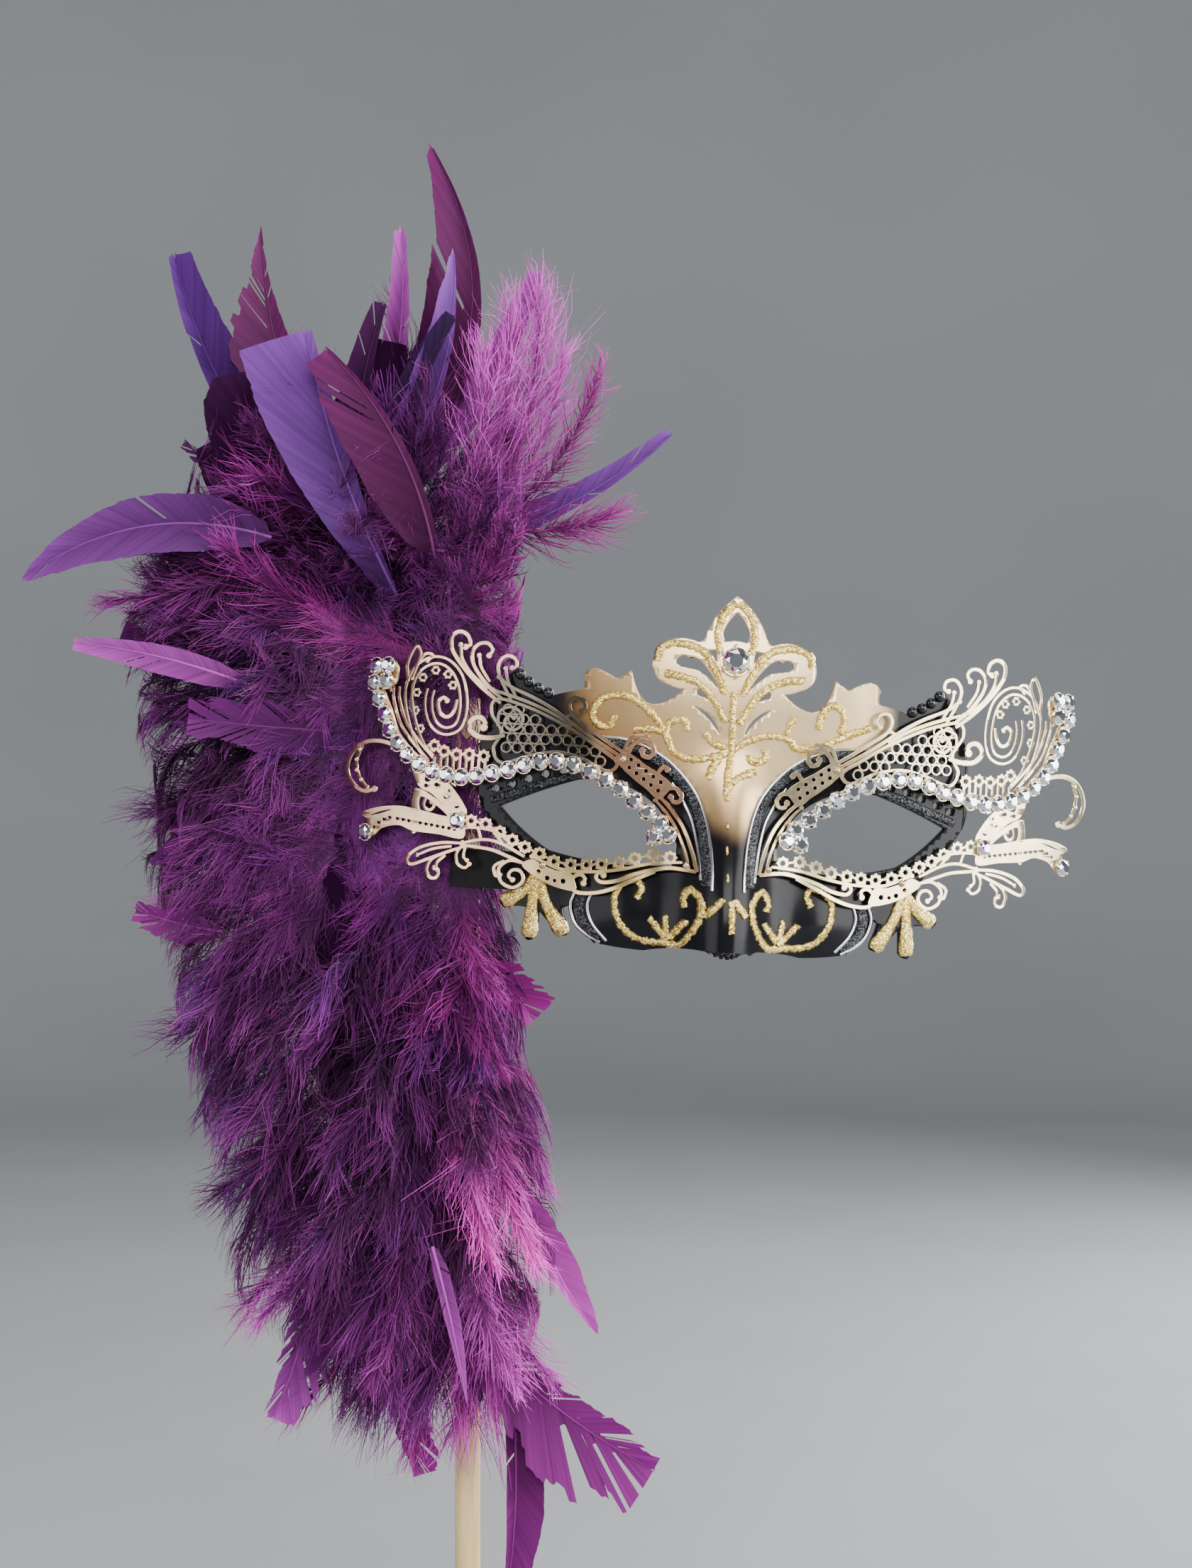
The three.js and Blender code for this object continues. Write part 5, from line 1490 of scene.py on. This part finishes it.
def body_fluff(pieces):
    for _ in range(BODY_FLUFF):
        root, way, out, half = body_spot()
        length = draw.uniform(24, 40) * np.interp(half, [7, 40], [0.6, 1.0])
        facing = unit(out + np.array((0, -0.3, 0)) + draw.normal(0, 0.35, 3))
        droop = np.interp(root[2], [330, 370], [0.28, 0.0])
        rows = 4 if out[1] > 0.1 else 5
        fluff_feather(
            piece_for(pieces, root), root, root + way * length, draw.normal(0, 4), draw.uniform(13, 20),
            dye_at(root, out), facing, BODY_BARBS, droop, rows=rows,
        )


def fill_fluff(pieces):
    """Down at the places that would show the core or the room behind."""
    for low, high, lead, count in FILLS:
        for _ in range(count):
            root = draw.uniform(low, high)
            way = unit(np.array(lead) + draw.normal(0, 0.35, 3))
            facing = unit(np.array((0, math.copysign(1, lead[1]), 0)) + draw.normal(0, 0.3, 3))
            colour = 1.2 * dye_at(root, np.array((0.0, -1.0, 0.0)))
            tip = root + way * draw.uniform(16, 28)
            fluff_feather(
                piece_for(pieces, root), root, tip, draw.normal(0, 3), draw.uniform(11, 16), colour, facing,
                barbs=80, droop=0.1,
            )


def stick_fluff(pieces):
    """Down that hides the stick between the plume and the mask's wing."""
    for _ in range(STICK_FLUFF):
        height = draw.uniform(132, 240) if draw.random() < 0.35 else draw.uniform(240, 330)
        behind = draw.random() < 0.35
        aside = draw.uniform(-5, 4)
        depth = draw.uniform(6, 9) if behind else draw.uniform(-9, -6)
        root = np.array((aside, depth, height))
        way = unit(np.array((draw.uniform(-0.5, 0.5), draw.uniform(-0.15, 0), draw.normal(-0.5, 0.5))))
        facing = np.array((0.0, 1.0 if behind else -1.0, 0.0))
        colour = dye_at(root, np.array((draw.uniform(-0.6, 0.2), 0, 0)))
        tip = root + way * draw.uniform(10, 20)
        fluff_feather(
            piece_for(pieces, root), root, tip, 0.0, draw.uniform(8, 12), colour, facing,
            barbs=60, droop=0.1, loft=0.15,
        )


def plume_core():
    """A near-black body round the stick: painted shade for the deep inside of the plume."""
    line = smooth_line(CORE[:, :3], 6.0)
    radii = np.array([core_at(z)[2] for z in line[:, 2]]) * CORE_SHARE
    mesh = wire_mesh([(line, radii, False)], 6)
    p = mesh_points(mesh)
    centre = np.array([core_at(z)[1] for z in p[:, 2]])
    p[:, 1] = centre + CORE_DEPTH * (p[:, 1] - centre)
    set_points(mesh, keep_behind_wing(p) * MM)
    new_piece("plume_core", mesh, CORE_SHADE, "feather", "feather_plume")


def plume():
    plume_core()
    vanes = Plume()
    fluffs = [Plume() for _ in FLUFF_NAMES]
    long_vanes(vanes, fluffs[0])
    body_vanes(vanes)
    body_fluff(fluffs)
    fill_fluff(fluffs)
    downy_feathers(fluffs)
    stick_fluff(fluffs)
    new_piece("plume_vanes", vanes.mesh("vanes"), FEATHER, "feather")
    for name, gathered in zip(FLUFF_NAMES, fluffs):
        new_piece(f"fluff_{name}", gathered.mesh(name), FLUFF, "feather")


# The stick
def stick():
    bm = bmesh.new()
    bmesh.ops.create_cone(
        bm, cap_ends=True, segments=48, radius1=STICK_RADIUS * MM, radius2=STICK_RADIUS * MM,
        depth=STICK_LENGTH * MM, matrix=Matrix.Translation((0, 0, STICK_LENGTH / 2 * MM)),
    )
    rims = [e for e in bm.edges if abs(e.verts[0].co.z - e.verts[1].co.z) < 1e-6]
    bmesh.ops.bevel(
        bm, geom=rims, offset=STICK_BEVEL * MM, offset_type="OFFSET", affect="EDGES", segments=3,
        profile=0.5, material=-1,
    )
    mesh = close_mesh(bm, bpy.data.meshes.new("dowel"))
    sharp_by_angle(mesh, TURNED_SHARP)
    new_piece("dowel", mesh, WOOD, "wood", "stick")


# Studio
def backdrop():
    """A pale floor that rises all round into a wall."""
    bm = bmesh.new()
    bend, reach, height = 0.9, 2.6, 3.2
    profile = [(0.0, 0.0), (reach - bend, 0.0)]
    for k in range(1, 13):
        angle = math.pi / 2 * k / 12
        profile.append((reach - bend + bend * math.sin(angle), bend - bend * math.cos(angle)))
    profile.append((reach, height))
    verts = [bm.verts.new((r, 0, z)) for r, z in profile]
    edges = [bm.edges.new(pair) for pair in zip(verts, verts[1:])]
    bmesh.ops.spin(
        bm, geom=verts + edges, cent=(0, 0, 0), axis=(0, 0, 1), dvec=(0, 0, 0), angle=2 * math.pi,
        steps=64, use_merge=True, use_duplicate=False,
    )
    bmesh.ops.remove_doubles(bm, verts=bm.verts, dist=1e-5)
    bmesh.ops.recalc_face_normals(bm, faces=bm.faces)
    mesh = close_mesh(bm, bpy.data.meshes.new("backdrop"))
    set_smooth(mesh, True)
    mesh.materials.append(BACKDROP)
    add_object("backdrop", mesh)


def lamp(name, at, size, power):
    light = bpy.data.lights.new(name, "AREA")
    light.shape = "RECTANGLE"
    light.size, light.size_y = size
    light.energy = power
    holder = add_object(name, light)
    holder.location = at
    holder.rotation_euler = (Vector(LAMP_AIM) - Vector(at)).to_track_quat("-Z", "Y").to_euler()


def studio():
    world = bpy.data.worlds.new("studio")
    bpy.context.scene.world = world
    world.use_nodes = True
    background = world.node_tree.nodes["Background"]
    background.inputs["Color"].default_value = (0.62, 0.65, 0.7, 1)
    background.inputs["Strength"].default_value = 0.22
    for name, at, size, power in LAMPS:
        lamp(name, at, size, power)


def camera():
    data = bpy.data.cameras.new("camera")
    data.lens = CAMERA_LENS
    data.sensor_width = CAMERA_SENSOR
    holder = add_object("camera", data)
    aim = Vector(CAMERA_AIM)
    away = Vector((math.sin(CAMERA_AZIMUTH), -math.cos(CAMERA_AZIMUTH), 0)) * CAMERA_AWAY
    holder.location = (aim + away) * MM
    holder.rotation_euler = (-away).to_track_quat("-Z", "Y").to_euler()
    bpy.context.scene.camera = holder


camera()
studio()
backdrop()
stick()
mask_shell()
mask_lines()
glitter_lines()
beads_and_rivets()
for hand, side_name in ((-1, "left"), (1, "right")):
    lace(hand, side_name)
    stone_rows(hand, side_name)
crown_stone()
plume()
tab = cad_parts["side_tab"]
tab.data.materials.clear()
tab.data.materials.append(TAB_BLACK)
